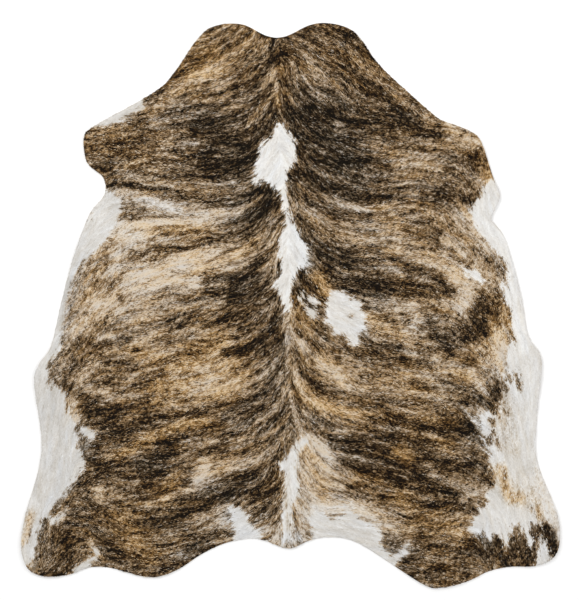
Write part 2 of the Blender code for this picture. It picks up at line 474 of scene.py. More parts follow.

# %% [markdown]
# ## The brindle
#
# Brindle is tan hair with dark hair drawn through it in wavering bands. The bands of this hide are charted
# as brush strokes that follow the hair. Each stroke pulls the coat's tone towards its own, most on its line
# and less and less beside it, and later strokes go over earlier ones. The washes come first: they are wide,
# and say whether a part of the coat is dark or pale on the whole. The narrower bands then draw what the eye
# picks out. A stroke's row holds its width in centimetres, its tone in percent from black to white, and its
# points. Last come the touches, which only make what is there a little lighter or darker.

# %% The washes
WASHES = (
    # neck, left
    (8.9, 42, (-19,98), (-28,90), (-37,84), (-47,76)), (5.6, 31, (-8,94), (-11,85), (-13,77)),
    (4.8, 31, (-35,70), (-24,71), (-11,72)),
    # shoulder, left
    (6.3, 38, (-72,60), (-60,58), (-45,61)), (6.3, 21, (-8,66), (-19,64), (-29,62)),
    (5.2, 20, (-13,57), (-21,55), (-32,55)),
    # armpit, left
    (4.1, 61, (-60,37), (-47,36), (-28,35)), (5.6, 23, (-7,39), (-11,34), (-15,29)),
    (4.1, 51, (-48,25), (-37,26), (-27,26)), (4.5, 67, (-68,26), (-55,27)),
    # ribs, left
    (7.4, 59, (-72,20), (-77,9), (-80,-5)), (6, 69, (-28,18), (-39,15), (-52,12), (-63,5)),
    (5.2, 23, (-12,18), (-16,9), (-19,3), (-17,-4)), (3, 41, (-6,26), (-6,18), (-8,11)),
    # waist, left
    (5.2, 61, (-71,-3), (-58,0), (-48,1)), (4.5, 28, (-4,2), (-5,-7), (-8,-15)),
    (6, 48, (-80,-13), (-63,-12), (-47,-10), (-28,-11)),
    # loin, left
    (5.2, 45, (-82,-21), (-67,-20), (-48,-19), (-34,-17)), (6.3, 59, (-41,-25), (-32,-26), (-21,-26)),
    (5.6, 42, (-82,-30), (-71,-31), (-56,-29)), (4.5, 50, (-48,-33), (-34,-32), (-22,-33)),
    # hip, left
    (5.2, 24, (-77,-38), (-67,-40), (-55,-40)), (4.8, 36, (-47,-40), (-32,-40), (-13,-39)),
    (4.8, 30, (-69,-49), (-56,-47), (-43,-48)), (4.5, 37, (-34,-49), (-21,-49), (-9,-47)),
    # rump, left
    (6, 27, (-73,-58), (-60,-59), (-47,-58)), (4.5, 44, (-35,-57), (-22,-58), (-11,-55)),
    (5.2, 32, (-76,-67), (-63,-69), (-47,-67)), (4.8, 26, (-5,-61), (-13,-66), (-25,-69)),
    # thigh, left
    (5.6, 31, (-78,-77), (-63,-80), (-48,-78), (-35,-74)),
    # hind leg, left
    (5.6, 34, (-67,-89), (-54,-92), (-43,-92), (-34,-87)), (6.3, 29, (-85,-81), (-86,-90), (-86,-97)),
    # neck, right
    (8.9, 31, (4,95), (13,91), (22,91), (32,82)), (5.2, 36, (7,90), (13,85), (22,78)),
    (4.5, 35, (35,83), (43,76), (48,71)), (5.6, 20, (-2,73), (9,70), (22,70), (37,71)),
    # shoulder, right
    (3.7, 24, (39,70), (48,65), (58,64)), (7.4, 21, (7,61), (15,57), (24,54)), (4.5, 29, (24,65), (33,63)),
    (6.7, 50, (41,55), (52,57), (65,62)), (3.7, 36, (68,56), (71,50)), (4.5, 42, (38,48), (50,49), (59,52)),
    (4.8, 26, (4,50), (11,45), (22,43), (34,44)),
    # armpit, right
    (4.5, 33, (41,41), (52,41), (65,41)), (6, 46, (7,36), (20,31), (35,30), (52,32)),
    (5.6, 55, (59,31), (67,29), (74,21)), (4.8, 27, (5,29), (10,22), (20,18)),
    # ribs, right
    (4.1, 48, (35,23), (46,21), (58,21)), (4.8, 28, (20,12), (32,9), (45,8), (56,6)),
    (5.2, 67, (56,14), (65,11), (65,0)), (4.8, 53, (71,16), (77,9)), (4.5, 27, (1,18), (2,6), (4,-5)),
    # waist, right
    (4.8, 54, (35,-3), (45,-3), (56,-1)), (5.6, 24, (74,3), (73,-3), (67,-9), (59,-11)),
    (4.5, 43, (8,-11), (20,-16), (28,-11), (37,-12), (46,-11)),
    # loin, right
    (4.1, 32, (26,-17), (37,-19), (48,-20)), (5.6, 45, (59,-20), (69,-17), (75,-20)),
    (5.6, 51, (7,-21), (17,-26), (30,-28), (45,-27)),
    (5.2, 48, (5,-35), (17,-38), (28,-37), (41,-34), (56,-32)),
    # hip, right
    (4.8, 40, (26,-41), (43,-38), (56,-38), (67,-37)), (5.2, 27, (17,-47), (32,-48), (48,-47), (63,-46)),
    # rump, right
    (5.6, 24, (22,-56), (37,-59), (50,-61)), (4.8, 32, (56,-55), (67,-56), (72,-61)),
    (6.3, 65, (7,-54), (10,-62), (10,-69)), (5.2, 26, (41,-66), (50,-69), (61,-72)),
    (3.7, 44, (61,-66), (71,-67)),
    # hind leg, right
    (5.6, 35, (43,-91), (54,-90), (64,-90)), (5.2, 31, (43,-98), (54,-100), (67,-98)),
    (6.3, 26, (72,-91), (81,-92), (89,-91)),
)

# %% The bands
BANDS = (
    # neck, left
    (2.2, 26, (-31.5,92), (-38,90.5), (-44,85.5), (-50,79.5)),
    (2.4, 57, (-25.5,89), (-31.5,87), (-37.5,84), (-44,79.5), (-49,75)),
    (1.9, 48, (-20,91), (-24,89.5), (-27.5,85.5)), (1.5, 44, (-8.5,96), (-11.5,94), (-14,91)),
    (1.5, 26, (-12,90.5), (-16.5,87), (-20,83)), (1.1, 27, (-21.5,81), (-27.5,78.5), (-33.5,78)),
    (1.9, 16, (-6.5,98), (-6,94), (-7.5,91)), (1.3, 59, (-6,87), (-8.5,84), (-10,81)),
    (1.7, 24, (-7,81.5), (-10,77), (-12,73.5)), (1.5, 47, (-16.5,78.5), (-18.5,75.5), (-21,73.5)),
    (0.9, 44, (-21.5,76.5), (-27.5,76.5), (-33.5,77)), (1.1, 22, (-23,74.5), (-29,74.5)),
    # painted highlight: the pale band on the backbone, from (-5,82.5) to (-4,68), stands for a glint on the
    # parting
    (1.5, 23, (-18.5,72), (-25.5,70.5), (-32,69.5)), (1.1, 46, (-5,82.5), (-4.5,77), (-4,72), (-4,68)),
    (0.9, 41, (-3.5,77), (-2.5,72.5)),
    # shoulder, left
    (1.3, 47, (-8.5,75), (-10.5,71), (-13.5,68), (-18.5,66.5), (-23,66.5)),
    (2.2, 24, (-55,69.5), (-59,68.5)), (1.1, 49, (-58,65), (-63.5,63.5), (-68.5,63)),
    (1.5, 25, (-56,62), (-62,60.5), (-68,58.5)), (0.9, 44, (-55,55.5), (-61,57.5), (-67,57.5), (-71,54)),
    (1.3, 24, (-59.5,55), (-65,56), (-69.5,52.5)), (1.7, 23, (-66.5,52.5), (-70,50.5)),
    (2.2, 46, (-31.5,60.5), (-38,60.5), (-44,59), (-49,56.5)), (1.3, 24, (-33.5,55), (-39.5,55), (-44,53.5)),
    (2.2, 20, (-28.5,68), (-33.5,67.5), (-36.5,64.5)),
    (2.6, 16, (-10.5,66), (-13.5,60), (-20,59), (-28.5,62)), (2.6, 16, (-15,55.5), (-21.5,55), (-31.5,55.5)),
    (1.1, 35, (-19.5,58), (-27.5,56.5)), (1.9, 19, (-12.5,53.5), (-18.5,49.5), (-28.5,47.5), (-37.5,48)),
    (1.3, 24, (-59,50), (-52,48), (-44,47), (-33.5,46.5)),
    (1.5, 53, (-64,50), (-59.5,48.5), (-53.5,47), (-46,45.5), (-38,44), (-31.5,44), (-24.5,45), (-18.5,46.5),
        (-13.5,49.5)),
    # armpit, left
    (2, 26, (-65.5,45), (-59.5,44.5), (-52,43), (-44,41.5), (-35,40), (-27,37.5), (-19.5,38.5), (-14,41.5),
        (-10,44.5)),
    (3, 16, (-11,44), (-8,41), (-10,35), (-13,31)), (0.9, 38, (-8.5,44.5), (-11.5,40.5), (-15,37)),
    (1.3, 44, (-4,37), (-7,34.5), (-10,30)), (1.5, 20, (-4,41.5), (-5.5,37)),
    (1.9, 74, (-64,42), (-57.5,41), (-50.5,39), (-44,36.5), (-37.5,35.5), (-29,34.5), (-24,35)),
    (0.7, 55, (-23,35), (-19.5,36), (-15.5,38)), (1.7, 41, (-58,37), (-62,34.5), (-59,31.5)),
    (1.3, 32, (-55,36), (-53,34)), (0.9, 42, (-53,33), (-46,33), (-39.5,33), (-34.5,32.5)),
    (1.5, 75, (-64,29.5), (-55,30.5), (-46,31), (-36.5,31.5), (-29,31.5)),
    (0.9, 59, (-28.5,31.5), (-22.5,32.5), (-18.5,34)), (2.6, 77, (-59,27.5), (-53.5,27)),
    (1.3, 36, (-19.5,29.5), (-26,28.5), (-33.5,27.5), (-40.5,27), (-45.5,26)),
    (2.2, 22, (-12.5,29.5), (-16.5,27), (-22.5,26.5)), (1.1, 62, (-49,24), (-43,25), (-37.5,25)),
    (1.5, 71, (-63.5,25), (-58,23)), (1.5, 44, (-69.5,22), (-66.5,24.5)),
    (1.7, 26, (-25.5,24.5), (-20,24.5), (-15,25)), (1.1, 30, (-42,20.5), (-35,23), (-30.5,24.5)),
    (1.3, 53, (-7,27), (-10.5,23.5), (-14,18.5)), (2.6, 78, (-66.5,28.5), (-60.5,27)),
    # ribs, left
    (1.7, 36, (-64,17), (-59,18.5), (-52,19.5), (-45.5,20), (-39,21.5), (-31.5,23), (-26,23.5)),
    (1.7, 73, (-42.5,17.5), (-36.5,19), (-29,20), (-21.5,19), (-16.5,21.5)),
    (1.3, 44, (-21.5,20.5), (-24.5,19)), (3, 80, (-35,16), (-44,14), (-54,12), (-59,9)),
    (2.6, 74, (-36,8), (-42,9.5), (-49,8), (-57.5,5)), (2.2, 57, (-19.5,15.5), (-25.5,14.5), (-30.5,14.5)),
    (2, 24, (-21.5,9.5), (-27,11), (-30.5,8.5)), (1.5, 54, (-23,7.5), (-28.5,7)),
    (2.6, 16, (-10,20), (-13.5,14.5), (-17.5,10), (-21.5,6.5)), (3.3, 17, (-11,8), (-16,3), (-23,3)),
    (1.5, 25, (-40.5,1), (-35,2.5), (-30,5), (-24,5.5)), (1.5, 48, (-52,2), (-48.5,4), (-44,6.5)),
    (1.9, 39, (-67,16), (-71,14.5)), (1.7, 37, (-66.5,7.5), (-70,7), (-73,8.5)),
    (1.7, 49, (-73.5,17.5), (-76,12.5), (-78,8), (-80.5,3.5)), (2.6, 71, (-66.5,12.5), (-64,18.5)),
    (3, 75, (-66,1), (-72,0), (-74,3)), (1.1, 33, (-64,3.5), (-63,2)),
    # waist, left
    (1.3, 64, (-58,-2.5), (-52,-2), (-44.5,-1), (-38,0), (-31.5,1), (-24.5,1)),
    (1.9, 48, (-82.5,-4.5), (-79.5,0.5), (-76.5,3.5)), (1.9, 66, (-82,-9), (-76,-7.5), (-71,-4.5)),
    (2.2, 23, (-12.5,0.5), (-18.5,-2), (-24.5,-2.5)), (1.9, 22, (-35,-4), (-38,-6), (-41,-8.5)),
    (1.5, 28, (-44.5,-6), (-46,-8.5)), (2.2, 38, (-21.5,-6), (-28.5,-5.5), (-32,-7)),
    (1.9, 61, (-49,-2.5), (-56,-4.5), (-61,-5.5)), (2.2, 60, (-47,-9), (-52,-11.5), (-57.5,-13.5)),
    (1.9, 36, (-63.5,-6), (-68,-7.5), (-72.5,-7)), (1.1, 47, (-7,0.5), (-10.5,-3.5), (-14,-7.5)),
    (2, 15, (-5.5,-5.5), (-8.5,-10.5), (-12.5,-15), (-18.5,-17), (-24.5,-17.5)),
    (1.9, 20, (-12,-4.5), (-15.5,-8.5), (-20,-10)), (1.1, 46, (-8.5,-7.5), (-12.5,-11), (-18.5,-13.5)),
    (1.5, 58, (-21.5,-10), (-29,-9.5), (-36.5,-10), (-42.5,-10.5)), (1.5, 56, (-22.5,-14), (-28.5,-14)),
    (2.2, 31, (-69.5,-14), (-76,-14), (-82,-16)), (1.9, 60, (-66.5,-10.5), (-71,-12)),
    # loin, left
    (1.9, 29, (-71,-17.5), (-75,-19), (-79.5,-21)),
    (1.9, 60, (-42,-16.5), (-48.5,-18), (-55,-19.5), (-62,-19.5)), (1.1, 32, (-56.5,-16), (-59.5,-17.5)),
    (1.5, 26, (-59,-21), (-64,-21.5), (-70,-21)),
    (1.1, 33, (-33.5,-18), (-40.5,-19.5), (-47,-21), (-53.5,-22.5), (-59.5,-23.5)),
    (1.3, 58, (-40.5,-21), (-46,-23), (-51.5,-25)),
    (1.5, 28, (-49,-25.5), (-53.5,-28), (-58,-30), (-62,-32)), (1.5, 63, (-58,-26.5), (-61,-29)),
    (1.9, 56, (-71.5,-22), (-75,-24), (-76.5,-28.5), (-73.5,-31.5)),
    (1.9, 54, (-69.5,-33), (-64,-34), (-57.5,-34.5)), (1.9, 34, (-81,-25), (-85,-28.5), (-82.5,-31.5)),
    (1.7, 31, (-64,-26.5), (-68.5,-28)), (2.2, 66, (-21.5,-21), (-28.5,-22.5), (-35,-23.5), (-40.5,-22.5)),
    (2.6, 67, (-21.5,-30), (-28.5,-31), (-34.5,-31), (-39.5,-30)),
    (0.9, 65, (-5.5,-20.5), (-7,-23), (-10.5,-26.5), (-15,-28.5), (-19.5,-30.5)),
    (1.7, 42, (-10.5,-21), (-16.5,-23.5), (-22.5,-27)),
    (1.5, 23, (-2.5,-22), (-5,-27), (-9,-31.5), (-14,-35), (-18.5,-36)),
    (1.1, 51, (-3,-25), (-5.5,-30), (-10,-34)),
    # hip, left
    (1.7, 55, (-25.5,-36), (-32,-37.5), (-39,-38), (-44.5,-37.5)),
    (3, 16, (-74,-37), (-70,-40), (-67,-43), (-65,-46)), (1.7, 20, (-64,-38), (-58,-37.5), (-53,-37)),
    (1.1, 44, (-56.5,-41), (-61,-42.5)), (1.7, 16, (-64,-45), (-58,-44.5), (-52,-44)),
    (1.5, 22, (-48.5,-41), (-42,-40.5), (-34.5,-39.5), (-27.5,-38), (-20,-37.5)),
    (3, 24, (-16,-40), (-11,-37), (-7,-32)), (1.5, 55, (-46,-45.5), (-40.5,-44), (-33.5,-43), (-27.5,-42)),
    (1.1, 59, (-2.5,-31), (-4,-35), (-7,-39.5), (-10.5,-42.5), (-15,-45), (-20,-46.5)),
    (1.5, 21, (-25.5,-44), (-31.5,-45.5), (-36,-48)),
    (1.7, 49, (-46,-46), (-52,-48.5), (-57.5,-51), (-62,-53)),
    (2.2, 18, (-37.5,-47), (-42.5,-49.5), (-46,-52.5)), (1.7, 24, (-62.5,-50), (-68,-50), (-71.5,-48)),
    (1.5, 52, (-28.5,-50), (-33.5,-51), (-38,-53)),
    (1.5, 51, (-4.5,-46.5), (-10.5,-49.5), (-17,-50), (-22.5,-50)),
    (1.1, 30, (-2.5,-45.5), (-7,-50), (-12.5,-51)),
    (1.5, 59, (-1,-44), (-2.5,-49), (-5.5,-52.5), (-10,-55.5), (-15,-57)),
    (2.2, 76, (-81,-36.5), (-80,-42.5)),
    # rump, left
    (1.5, 33, (-16.5,-54.5), (-23,-55), (-30,-54.5)), (1.7, 45, (-56.5,-54.5), (-62.5,-55.5), (-68.5,-55.5)),
    (2.2, 17, (-62,-58.5), (-67,-59), (-71.5,-58.5)), (2.6, 16, (-47,-56), (-52,-58.5), (-55,-60.5)),
    (1.9, 24, (-70,-52.5), (-73.5,-54.5), (-75,-58.5)), (2.6, 74, (-31.5,-59), (-33.5,-63), (-36,-66)),
    (1.7, 60, (-12,-58), (-18.5,-58.5), (-24.5,-60), (-29,-61.5)),
    (1.9, 22, (-48.5,-62), (-53,-65), (-56,-68)), (1.3, 52, (-42,-65), (-47,-66)),
    (1.3, 24, (-37.5,-66), (-42,-68), (-46,-69.5)),
    (1.3, 60, (-34.5,-67), (-40.5,-69), (-46,-71.5), (-51.5,-74), (-56,-76)),
    (1.3, 50, (-57.5,-66), (-62,-66.5), (-65.5,-64.5)), (2.2, 69, (-71,-68), (-71.5,-71.5)),
    (1.3, 55, (-66.5,-70), (-62,-72), (-58,-73.5)),
    (2.2, 18, (-6,-61.5), (-10.5,-63.5), (-17,-64.5), (-24,-66)),
    (2.4, 17, (-7,-67), (-14,-69.5), (-23,-70)), (1.1, 31, (-3,-61.5), (-6,-66.5), (-10.5,-69.5)),
    # thigh, left
    (2.2, 17, (-29,-72), (-33.5,-74.5), (-39,-77), (-45.5,-80), (-52,-81.5), (-57.5,-82)),
    (1.1, 45, (-71,-73), (-66.5,-76), (-61,-78), (-56,-78.5), (-51.5,-77)),
    (1.7, 19, (-73.5,-74.5), (-69.5,-77), (-65.5,-80)), (1.1, 23, (-58,-76), (-53,-77)),
    (1.9, 26, (-10.5,-76), (-13.5,-78.5)), (1.7, 60, (-24,-75.5), (-30,-77), (-35,-79)),
    (1.7, 53, (-24,-80.5), (-30.5,-82), (-36.5,-82)), (1.5, 48, (-65,-79), (-62,-83), (-59,-86.5)),
    (1.7, 26, (-79.5,-77.5), (-84,-80), (-91,-81.5)), (1.5, 59, (-84,-75.5), (-85.5,-78.5)),
    (1.7, 27, (-88,-77), (-85,-73)), (0.9, 31, (-4,-71), (-4,-82)),
    (2.2, 76, (-96.5,-78.5), (-97.5,-83), (-99,-87.5)),
    # hind leg, left
    (2.6, 62, (-3,-82), (-7.5,-84.5), (-11.5,-84.5)),
    (1.3, 46, (-35,-83), (-41,-84), (-47,-85.5), (-51.5,-87.5)),
    (2, 21, (-22.5,-85), (-28.5,-85.5), (-33.5,-87.5), (-38,-90.5)),
    (1.7, 24, (-27.5,-89), (-34.5,-92.5), (-40.5,-97)), (2.2, 38, (-42.5,-90.5), (-47,-95), (-53.5,-96.5)),
    (1.7, 22, (-46,-98), (-52,-99.5), (-59,-98.5)), (1.9, 47, (-59,-89), (-53.5,-90)),
    (2.2, 17, (-69.5,-87.5), (-65,-91), (-62,-94)), (1.5, 22, (-76,-83.5), (-73,-86.5), (-71,-89.5)),
    (1.5, 70, (-74.5,-87.5), (-73,-90.5), (-71.5,-92.5)), (3, 18, (-83,-84), (-83,-90), (-83,-94)),
    (2.2, 26, (-94,-97.5), (-88.5,-99), (-83.5,-98.5)),
    # neck, right
    (2.2, 24, (8,102.5), (17,102.5), (24.5,98), (29.5,92)), (1.5, 38, (3.5,98), (9.5,99.5), (15.5,98)),
    (2, 19, (-3,97), (-1.5,92.5), (0,89)), (1.5, 15, (-2.5,84.5), (0,81), (1.5,78)),
    (2.2, 45, (5,93.5), (8,89.5), (10.5,85.5), (12.5,83)), (1.7, 42, (0.5,90.5), (3.5,86), (6.5,82.5)),
    (1.7, 24, (5,81.5), (10.5,79.5), (15.5,80)), (1.9, 24, (15,94), (18,89), (21.5,84)),
    (1.3, 43, (21.5,96.5), (23.5,92), (26.5,87.5), (31,84.5)),
    (1.5, 23, (20.5,92.5), (23.5,87), (28,83), (33.5,82.5)),
    (1.5, 43, (32.5,87), (36.5,82.5), (41,78), (45.5,74)), (1.9, 21, (28,78), (34,77), (39.5,75)),
    (1.5, 49, (9,79.5), (12,76.5)), (1.5, 44, (13.5,77), (18,75.5), (20.5,78)), (1.1, 39, (0,78), (3.5,75)),
    (2.6, 14, (-1.5,70.5), (4.5,72), (12,72.5), (20.5,71), (30.5,69.5), (38.5,70.5)),
    (1.1, 36, (30.5,75), (36.5,73.5)), (1.5, 43, (45.5,75), (50,71), (52.5,66.5)),
    # shoulder, right
    (2.2, 15, (40,72), (44.5,66.5), (51,63.5), (58,63)), (1.7, 41, (17,68), (20,65)),
    (1.5, 38, (24.5,64.5), (29.5,66.5), (35,66)), (1.5, 15, (2,66), (6,61.5), (9.5,58), (14,55.5)),
    (0.9, 33, (3,61.5), (8,58), (15,55.5)), (2.2, 16, (10.5,64.5), (16.5,62), (23,60.5)),
    (2.6, 14, (9.5,55), (17,52.5), (23,52), (28,54)), (1.9, 50, (32,60.5), (35.5,60.5)),
    (1.3, 52, (41.5,61.5), (48.5,60.5), (55,60)), (1.3, 57, (37,58), (41.5,55.5), (47.5,55), (52.5,55.5)),
    (1.1, 30, (42.5,59), (48.5,58), (54,58)), (2, 62, (38,53.5), (44,51.5), (50,52)),
    (2.2, 57, (58,67.5), (64,64.5), (69,60.5)), (1.9, 55, (58.5,62), (65.5,61.5)),
    (2, 20, (70,57), (67.5,54), (68.5,50.5)),
    (1.3, 52, (52.5,51), (59.5,52), (64.5,50.5), (69,46.5), (71.5,43)),
    (1.5, 49, (35.5,49.5), (39.5,46), (44,45.5)), (1.7, 22, (58,50), (63,48.5), (67.5,45), (70.5,40.5)),
    (1.1, 45, (44.5,40.5), (50,43.5), (55.5,46), (61,46.5)),
    (1.1, 44, (3,54), (6,52.5), (9.5,49.5), (15,48), (19.5,47.5)),
    (1.1, 38, (12,52), (16.5,49.5), (21.5,49)), (1.5, 31, (23,49.5), (30.5,51), (35.5,52.5)),
    (2.2, 19, (1.5,48), (4.5,43.5), (8,40)),
    (1.9, 20, (6.5,49.5), (12,45), (18.5,42), (26.5,40.5), (36.5,40)),
    (1.1, 35, (24.5,43.5), (32,45), (39.5,44.5)),
    # armpit, right
    (2.2, 21, (50,39.5), (56.5,42), (62.5,40.5), (67,39)),
    (1.3, 45, (3.5,45), (8,41.5), (13.5,37.5), (18.5,35.5)),
    (1.3, 58, (15,40), (19.5,37.5), (25,36), (32,36), (39.5,37), (46,37)),
    (1.3, 24, (3.5,40.5), (9,37), (14,34.5), (19.5,33)),
    (1.5, 54, (4.5,37.5), (8,34), (12,30), (17,28.5), (23,28.5)), (1.5, 53, (29.5,30), (36.5,31), (42.5,31)),
    (1.3, 31, (22,32.5), (29,33), (36.5,33)), (1.5, 22, (3.5,33), (8,29.5), (12.5,26), (18,24.5)),
    (1.5, 36, (41.5,29.5), (48.5,31), (55.5,31)), (1.5, 38, (47,35.5), (53.5,36), (60,37)),
    (1.9, 50, (55.5,34), (50,33.5)), (2.2, 62, (61.5,33), (65.5,34.5), (68.5,32.5)),
    (1.5, 29, (58.5,29.5), (55.5,27.5)), (1.5, 59, (20.5,26), (26.5,25), (32,23.5), (35.5,26.5)),
    (2.2, 69, (39.5,25), (39.5,21.5)), (1.7, 24, (43,27.5), (48.5,26), (53.5,26)),
    (1.3, 35, (61.5,27), (65.5,24.5), (69,20)), (1.1, 34, (9,26.5), (14,23), (20,20.5)),
    # ribs, right
    (1.1, 36, (42.5,20.5), (49,21.5), (55,21.5)), (1.7, 61, (44.5,19), (50,17), (54,14.5)),
    (1.9, 71, (58,24.5), (61,21.5), (64.5,18.5)), (1.5, 42, (59.5,20), (63,16), (67,16)),
    (1.7, 42, (72,20), (76,15.5), (79,10)), (1.9, 52, (67,25), (72,20)),
    (2.6, 16, (7.5,23), (12,20), (17,17), (22,15.5)), (1.5, 38, (15.5,12.5), (20.5,11.5), (26.5,13)),
    (2.2, 19, (13.5,13), (16.5,9.5), (20,6.5)), (1.5, 60, (35,16), (38.5,14), (41.5,11.5)),
    (1.5, 33, (38,18.5), (42.5,16), (47,15.5)), (2.6, 17, (25,8.5), (32.5,8), (40,6.5), (48.5,7), (55.5,8)),
    (1.7, 20, (41,4), (50,4), (58,4), (60,5)), (1.9, 24, (44.5,14), (50.5,12.5), (55.5,10)),
    (1.1, 44, (45.5,11), (50.5,9.5), (55,7)), (2.6, 75, (60,11), (65.5,8), (64.5,1)),
    (1.9, 59, (72,12.5), (76,9.5)), (2.6, 16, (3.5,12.5), (5,8.5), (3.5,5)),
    (1.9, 59, (9,11.5), (12,8), (14,5)),
    # waist, right
    (1.7, 63, (59.5,0.5), (64.5,-2.5)), (2.6, 18, (72,2.5), (73.5,-0.5), (70.5,-4)),
    (2.6, 18, (68.5,-2.5), (70,-8.5), (65.5,-11.5)), (2, 64, (38,1), (44,-0.5), (47,-4), (45.5,-8.5)),
    (1.5, 31, (32,-3.5), (36.5,-4), (38.5,-7)), (1.3, 32, (41.5,-3.5), (44,-4.5)),
    (1.3, 29, (48.5,1), (53.5,-1), (57,-3.5)), (2, 21, (51.5,-6), (53.5,-10), (58,-12)),
    (1.3, 59, (56.5,-6), (61,-7)), (1.5, 58, (42.5,-10.5), (47.5,-11.5)),
    (1.9, 38, (2,-2.5), (3.5,-7.5), (6.5,-11.5)), (1.7, 27, (10.5,-7.5), (15,-12), (20.5,-14.5)),
    (1.1, 59, (32.5,-14.5), (34,-15)), (3, 82, (78,-11), (78,-15)),
    (1.5, 75, (-1,-4), (-0.5,-9), (0.5,-14.5)),
    # loin, right
    (1.3, 75, (4.5,-13.5), (6.5,-16.5)), (1.7, 28, (9,-14.5), (15,-16.5), (20.5,-16.5)),
    (1.9, 24, (26,-16.5), (32.5,-17.5), (39.5,-19.5), (42.5,-21)), (1.9, 23, (34,-14.5), (40,-16.5)),
    (1.5, 57, (42.5,-13.5), (45.5,-16), (46,-19.5)), (1.7, 24, (47.5,-21), (52,-23.5)),
    (1.7, 21, (52,-12), (57,-15), (60,-18)), (1.9, 58, (53.5,-19.5), (57,-22.5), (61,-25)),
    (1.7, 60, (62.5,-21), (67,-24.5), (70,-28), (71.5,-31.5)), (1.5, 61, (64.5,-16.5), (68.5,-16)),
    (1.7, 28, (64.5,-20.5), (69,-21)), (1.5, 60, (50,-25), (53.5,-28.5), (57,-33)),
    (1.7, 55, (26,-29.5), (32.5,-29.5), (39.5,-31), (46,-32.5)), (1.7, 31, (46,-28.5), (50.5,-31)),
    (1.9, 32, (60,-28.5), (65.5,-31), (68.5,-33)), (2.4, 72, (10.5,-21.5), (15,-24.5), (19,-27.5)),
    (1.5, 67, (19.5,-29.5), (21.5,-31.5)), (1.3, 56, (20,-22), (24.5,-25), (29,-25.5)),
    (1.5, 25, (2,-21), (4.5,-25.5), (8,-29.5), (12.5,-32), (20,-33)),
    (2.2, 64, (0.5,-22), (2.5,-27), (6,-32.5), (11,-36.5), (18,-39.5), (25,-41)),
    (1.9, 23, (76.5,-28), (77.5,-32.5), (75,-36.5)),
    (0.9, 59, (-0.5,-0.5), (-0.5,-9), (-1,-16.5), (-0.5,-25), (0,-34)), (3.3, 80, (78,-17), (78,-23)),
    # hip, right
    (1.5, 39, (22,-34.5), (30.5,-36), (38,-36)),
    (1.3, 24, (0,-25.5), (1.5,-31.5), (4.5,-36.5), (9.5,-41), (15.5,-44)),
    (1.5, 52, (39.5,-38), (46,-39.5), (53.5,-41)), (1.3, 53, (55.5,-36.5), (61.5,-37.5)),
    (2, 20, (70,-34.5), (65.5,-36)), (1.7, 22, (55.5,-39), (59.5,-41)),
    (1.3, 45, (3.5,-39.5), (8,-44), (14,-47), (20.5,-47)), (1.9, 20, (29.5,-43.5), (36.5,-42.5), (41,-42)),
    (1.5, 38, (23,-44), (29,-40.5)), (2.2, 15, (47,-44), (54,-46.5), (61.5,-47), (67.5,-45.5)),
    (1.1, 44, (41.5,-46.5), (47,-48)), (1.3, 45, (50,-48), (54,-48.5)),
    (1.5, 22, (5,-45.5), (10.5,-48.5), (16.5,-50)),
    (2.2, 15, (17,-51), (23,-51.5), (30.5,-52.5), (36.5,-54)), (1.3, 22, (73.5,-49.5), (74,-52.5)),
    (0.9, 64, (0,-32.5), (0.5,-38), (2,-42.5), (4.5,-47)), (1.5, 74, (67,-38.5), (71,-39.5)),
    (2.2, 78, (5,-50), (10.5,-52.5), (13.5,-55.5)),
    # rump, right
    (1.1, 49, (15.5,-55.5), (21.5,-55.5), (27.5,-57), (34,-58.5)),
    (1.7, 19, (18,-58.5), (24.5,-60), (29.5,-60.5)), (2.2, 13, (29.5,-60.5), (35.5,-62), (41.5,-65)),
    (1.7, 43, (40,-54.5), (44.5,-57.5)), (1.3, 22, (20,-67), (25,-67), (30.5,-68.5), (35,-71)),
    (1.3, 45, (35.5,-68), (41.5,-69.5), (45.5,-70)),
    (2.2, 17, (45.5,-61.5), (50,-66), (55.5,-69.5), (61,-71)), (1.9, 20, (55.5,-58.5), (61.5,-60), (67,-59)),
    (1.3, 49, (50.5,-59), (54,-61.5)), (1.5, 49, (53.5,-63), (58,-65), (61.5,-64.5)),
    (1.7, 48, (54,-54), (60,-54), (65.5,-55.5)), (1.5, 17, (72,-63.5), (74.5,-66.5)),
    (1.5, 59, (64,-72), (68.5,-70), (73,-68)), (1.5, 41, (46,-71.5), (52,-72.5)),
    (3.7, 69, (6,-52), (10,-56), (13,-61)), (3, 66, (5,-58), (8,-65), (13,-69)),
    (0.9, 75, (4.5,-57), (9,-61.5), (14,-65), (19.5,-67)), (1.9, 45, (10.5,-69.5), (17,-70), (22,-71)),
    (3.3, 64, (78,-60), (80,-66), (82,-71), (85,-72)),
    (0.8, 35, (79.5,-60.5), (79.5,-64.5), (80,-67.5), (81.5,-70)), (5.2, 81, (92,-63), (96,-72), (97,-81)),
    # thigh, right
    (1.7, 16, (50,-75), (55.5,-75.5), (61.5,-76)), (1.3, 23, (64,-74.5), (68.5,-75.5)),
    (1.5, 52, (50,-77), (54,-79), (58,-80)), (1.9, 29, (42.5,-78.5), (48.5,-80.5), (55.5,-82)),
    (1.9, 60, (26,-72), (32,-77), (35.5,-81.5), (39.5,-83)),
    (1.5, 53, (39.5,-81.5), (44.5,-83.5), (50,-83.5)), (1.5, 47, (61.5,-77.5), (67,-78.5)),
    (1.9, 64, (1.5,-72.5), (2.5,-77.5), (6,-81.5)), (0.7, 37, (1.5,-75.5), (1.5,-85)),
    (1.1, 39, (-1,-70), (-1,-84.5)), (3.3, 64, (4,-75), (5,-81), (4,-87)),
    (2.2, 80, (9,-75.5), (15.5,-74.5), (22,-74.5)), (2.6, 78, (21.5,-75.5), (26.5,-76.5), (31.5,-80.5)),
    (1.1, 67, (14.5,-76.5), (17,-78)),
    # hind leg, right
    (1.9, 48, (59.5,-83), (64.5,-85)), (1.9, 26, (35,-88), (40,-89.5)),
